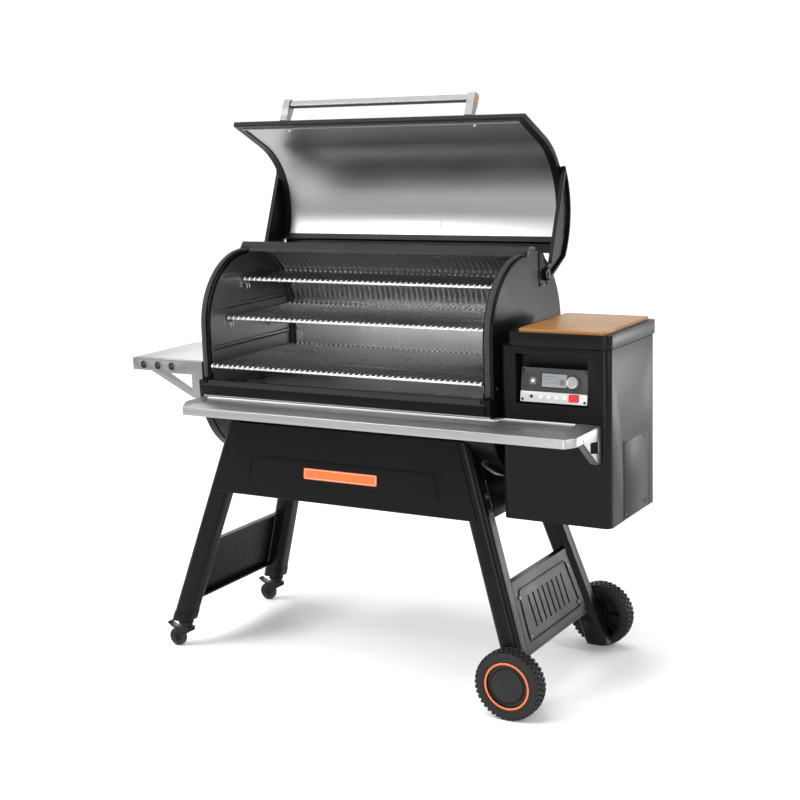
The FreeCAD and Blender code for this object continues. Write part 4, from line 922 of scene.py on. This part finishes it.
def apron():
    """Sheet across the front legs with a raised outline and a blank badge."""
    low_y, top = -25.3, 686.0

    def plane(z, out=0.0):
        return low_y + LEAN_Y * (z - LEG_Z) - out

    def slab(bm, outline, inner, outer, ease=0.0):
        part = bmesh.new()
        prism(part, "y", outline, 0, 1)
        for vert in part.verts:
            vert.co.y = plane(vert.co.z, outer if vert.co.y < 0.5 else inner)
        if ease:
            round_edges(part, ease, 2, 50)
        merge(bm, part)

    bm = bmesh.new()
    half = LEG_X + 1
    narrow = half - LEAN_X * (top - LEG_Z)
    slab(bm, rounded([(-half, LEG_Z + 1), (half, LEG_Z + 1), (narrow, top), (-narrow, top)], 5, 3),
         0.2, 1.9)
    field = rounded([(-307, 528), (307, 528), (293, 596), (-293, 596)], 7, 5)
    loop(bm, [(x, plane(z, 2.6), z) for x, z in field], 2.0)
    slab(bm, rounded([(-302, 533), (302, 533), (289, 591), (-289, 591)], 5, 4), 1.5, 2.9, 0.6)
    tube(bm, [(x, plane(LEG_Z + 2, 1.0), LEG_Z + 2) for x in (-half + 2, 0, half - 2)], 1.9, 8)
    piece(bm, "apron_panel", BLACK, "frame", ["front_apron"], 34)

    badge = bmesh.new()
    slab(badge, rounded(rect(-117.5, 117.5, 547.5, 577.5), 5, 4), 2, 4.3, 0.8)
    piece(badge, "apron_badge", ORANGE, "frame", (), 34)
    frame_line = bmesh.new()
    rim = rounded(rect(-114, 114, 550.5, 574.5), 3.5, 4)
    loop(frame_line, [(x, plane(z, 4.3), z) for x, z in rim], 0.7, 6)
    piece(frame_line, "badge_border", BUTTON, "frame", (), 34)


def base():
    for node in ("legs_left", "legs_right", "leg_caps"):
        refine(node, BLACK, "frame", 0.0, 34)
    refine("skirt_panels", BLACK, "frame", 0.4)
    mirrored(brace, "leg_brace", BLACK, ["leg_braces"], 30)
    apron()
    bolts = bmesh.new()
    for side in (-1, 1):
        for front in (True, False):
            for z in (545.0, 505.0):
                centre = leg_centre(side, front, z)
                bolt(bolts, (centre.x + side * 31.05, centre.y, z), (side, 0, LEAN_X), 7.0, 6.5)
        for y in (37.0, 347.0):
            for z in (170.0, 270.0):
                bolt(bolts, (lean_x(side, z, 19.6), y, z), (side, 0, LEAN_X), 5.0, 3.8)
    bolt(bolts, (PLATE_OUT, 22, 830), (1, 0, 0), 4.0, 3.0)
    for y in (102.0, 244.0):
        for z in (512.0, 689.0):
            bolt(bolts, (783.4, y, z), (1, 0, 0), 3.0, 1.8)
    piece(bolts, "frame_bolt_heads", BOLT_STEEL, "frame", ["frame_bolts"], 30)


# ---------------------------------------------------------------- wheels
def tyre(bm, y0):
    """Carcass with rounded shoulders and knobs in staggered rows."""
    wide, crown = 48.0, 90.2
    profile = [(70, 1), (74, 0.4), (80, 0), (crown - 5, 1.5), (crown - 1.5, 5), (crown, 11),
               (crown, wide - 11), (crown - 1.5, wide - 5), (crown - 5, wide - 1.5), (80, wide),
               (74, wide - 0.4), (70, wide - 1)]
    centre = WHEEL + Vector((0, y0, 0))
    lathe(bm, profile, centre, (0, 1, 0), 96)
    for bead in (76.0, 83.0):
        for depth in (1.2, wide - 1.2):
            ring = [centre + Vector((bead * math.cos(a), depth, bead * math.sin(a)))
                    for a in (2 * math.pi * k / 72 for k in range(73))]
            tube(bm, ring, 0.9, 6)
    count = 40
    for i in range(count):
        for row, (depth, width, shift) in enumerate(((1.2, 11.5, 0.0), (14.2, 9.0, 0.5),
                                                     (25.0, 9.0, 0.0), (35.4, 11.5, 0.5))):
            part = bmesh.new()
            outer = row in (0, 3)
            block(part, -4.9, 4.9, depth, depth + width, crown - 7 if outer else crown - 1, 92.9)
            for vert in part.verts:
                if vert.co.z > 90:
                    vert.co.x *= 0.78
                    if outer and (vert.co.y < 5 or vert.co.y > 43):
                        vert.co.z -= 2.6
            round_edges(part, 1.0, 1, 40)
            spin = Matrix.Rotation(2 * math.pi * (i + shift) / count, 4, "Y")
            merge(bm, part, Matrix.Translation(centre) @ spin)


def hub(y0, face):
    """Dished disc with ribs behind it, a round boss and a washer."""
    outer = y0 if face < 0 else y0 + 48
    centre = WHEEL + Vector((0, outer, 0))
    profile = [(70, 2), (69, 1.2), (64, 1.2), (63, 2.4), (57.6, 2.4), (56.8, 4.5), (56, 9),
               (51, 9.5), (47, 8.6), (44, 5), (41, 4), (20, 4), (17, 2.8), (14.5, 2.6), (8.1, 2.8),
               (8.1, 44), (18, 44), (20, 16), (62, 14), (64, 44), (70, 44)]
    bm = bmesh.new()
    lathe(bm, profile, centre, (0, -face, 0), 96)
    inwards = Matrix.Diagonal((1, -face, 1, 1))
    for k in range(8):
        soft_block(bm, -1.8, 1.8, 12, 38, 17, 65, 0.6, 1, Matrix.Translation(centre)
                   @ Matrix.Rotation(math.pi * k / 4, 4, "Y") @ inwards)
    return bm, centre


def wheels():
    for name, y0, face in (("front", -137.0, -1), ("back", 468.5, 1)):
        body = name + "_wheel"
        bm = bmesh.new()
        tyre(bm, y0)
        piece(bm, name + "_knobbly_tyre", RUBBER, body, [name + "_tyre"], 34)
        bm, centre = hub(y0, face)
        piece(bm, name + "_hub_disc", PLASTIC, body, [name + "_wheel_hub"], 28)
        ring = bmesh.new()
        lathe(ring, [(57.8, 3.0), (58.0, 1.5), (58.6, 1.0), (61.8, 1.0), (62.5, 1.5), (62.8, 3.0)],
              centre, (0, -face, 0), 96)
        piece(ring, name + "_wheel_ring", ORANGE, body)
        nut = bmesh.new()
        lathe(nut, [(0, 0), (9, 0), (9, 0.5), (8.0, 2.0), (5, 3.2), (0, 3.6)], centre
              + Vector((0, -face * 3.8, 0)), (0, face, 0), 32)
        piece(nut, name + "_hub_cap", PLASTIC, body)
    refine("wheel_axle", BLACK_SOFT, "frame", 0.0)
    casters()


def casters():
    for name, front in (("front", True), ("back", False)):
        foot = leg_centre(-1, front, 95.0)
        x, y = foot.x, foot.y
        refine(name + "_caster_fork", BLACK_SOFT, name + "_caster", 0.5)
        bm = bmesh.new()
        profile = [(4.1, -10), (9, -10), (11, -7), (18, -7), (20, -9.4), (21.5, -10), (24.2, -9.6),
                   (26.2, -7.5), (27, -4), (27, 4), (26.2, 7.5), (24.2, 9.6), (21.5, 10),
                   (20, 9.4), (18, 7), (11, 7), (9, 10), (4.1, 10)]
        lathe(bm, profile, (x - 32, y, 27), (0, 1, 0), 56)
        for k in range(6):
            soft_block(bm, -1.2, 1.2, -9, 9, 10, 19, 0.4, 1, Matrix.Translation((x - 32, y, 27))
                       @ Matrix.Rotation(k * math.pi / 3, 4, "Y"))
        piece(bm, name + "_caster_tread", CASTER, name + "_caster_roller",
              [name + "_caster_wheel"], 34)
        bm = from_cad(name + "_caster_brake", 0.6)
        for k in range(3):
            across, height = x - 59.5 + 2.6 * k, 69.9 - 1.86 * k
            soft_block(bm, across, across + 1.4, y - 9, y + 9, height - 1.4, height + 0.6, 0.3, 1)
        piece(bm, name + "_brake_pedal", PLASTIC, name + "_caster_pedal",
              [name + "_caster_brake"], 34)


# ---------------------------------------------------------------- inside
def inside():
    """Nodes shown as the CAD has them."""
    for node, mat in (("drip_tray", SOOTY), ("heat_baffle", SOOTY), ("firepot", SOOTY),
                      ("igniter", ZINC), ("auger_tube", ZINC), ("auger_motor", PLASTIC),
                      ("fan_housing", PLASTIC), ("temperature_probe", LINER_SIDE),
                      ("grate_brackets", LINER_SIDE), ("auger_screw", ZINC),
                      ("fan_impeller", PLASTIC)):
        paint(node, mat)


# ---------------------------------------------------------------- studio
def floor():
    bm = bmesh.new()
    corners = [bm.verts.new(p) for p in ((-40, -40, 0), (40, -40, 0), (40, 40, 0), (-40, 40, 0))]
    bm.faces.new(corners)
    mesh = bpy.data.meshes.new("floor")
    bm.to_mesh(mesh)
    bm.free()
    obj = add_object("floor", mesh)
    mat, nt, bsdf = tree("pale_floor")
    shade = grain(nt, (1, 1, 1), 0.8, 2.0)
    nt.links.new(blend_colour(nt, shade, (0.9, 0.9, 0.9), (0.93, 0.93, 0.93)),
                 bsdf.inputs["Base Color"])
    bsdf.inputs["Roughness"].default_value = 0.9
    bsdf.inputs["Specular IOR Level"].default_value = 0.0
    mesh.materials.append(mat)


def lamp(name, place, target, size, power):
    data = bpy.data.lights.new(name, "AREA")
    data.shape = "RECTANGLE"
    data.size, data.size_y = size
    data.energy = power
    obj = add_object(name, data)
    obj.location = place
    obj.rotation_euler = (Vector(target) - Vector(place)).to_track_quat("-Z", "Y").to_euler()


def studio():
    """White behind the object, dim in front of it, with soft boxes to either side and above."""
    world = bpy.data.worlds.new("studio")
    world.use_nodes = True
    nt = world.node_tree
    coords = nt.nodes.new("ShaderNodeTexCoord")
    toward = add(nt, "ShaderNodeVectorMath", {1: (-0.506, 0.863, 0.0)})
    toward.operation = "DOT_PRODUCT"
    nt.links.new(coords.outputs["Generated"], toward.inputs[0])
    level = add(nt, "ShaderNodeMapRange", {"From Min": 0.05, "From Max": 0.62, "To Min": 0.42,
                                           "To Max": 1.02}, Value=toward.outputs["Value"])
    back = nt.nodes["Background"]
    back.inputs["Color"].default_value = (1, 1, 1, 1)
    nt.links.new(level.outputs["Result"], back.inputs["Strength"])
    bpy.context.scene.world = world
    floor()
    middle = (0.0, 0.0, 0.9)
    lamp("key", (-2.6, -3.4, 3.4), middle, (1.8, 2.2), 110)
    lamp("right", (4.2, -0.9, 2.4), middle, (0.9, 2.6), 70)
    lamp("front", (1.2, -4.2, 1.3), middle, (1.0, 1.6), 60)
    lamp("back", (-2.4, 3.4, 2.6), middle, (2.4, 1.6), 40)
    lamp("side", (2.9, 3.6, 0.5), (0.4, 0.0, 0.8), (0.8, 0.8), 34)
    data = bpy.data.lights.new("sky", "SUN")
    data.energy = 2.4
    data.angle = math.radians(50)
    add_object("sky", data).rotation_euler = (math.radians(18), math.radians(-14), 0)
    bpy.context.scene.view_settings.view_transform = "Standard"


def camera():
    """Camera at the photo's place, in mm, its three angles in degrees."""
    eye, angles, focal = Vector((2166.9, -3375.2, 1541.8)), (30.388, 10.925, -1.918), 67.618
    yaw, pitch, roll = (math.radians(a) for a in angles)
    look = Vector((-math.sin(yaw) * math.cos(pitch), math.cos(yaw) * math.cos(pitch),
                   -math.sin(pitch)))
    right = Vector((math.cos(yaw), math.sin(yaw), 0))
    up = right.cross(look)
    across = right * math.cos(roll) + up * math.sin(roll)
    upward = up * math.cos(roll) - right * math.sin(roll)
    data = bpy.data.cameras.new("camera")
    data.sensor_width = 36.0
    data.lens = focal
    data.clip_end = 100.0
    obj = add_object("camera", data)
    turn = Matrix((across, upward, -look)).transposed().to_4x4()
    obj.matrix_world = Matrix.Translation(PLACE @ eye) @ turn
    bpy.context.scene.camera = obj


chamber()
grates()
lid()
front_shelf()
hopper()
controller()
base()
wheels()
inside()
studio()
camera()
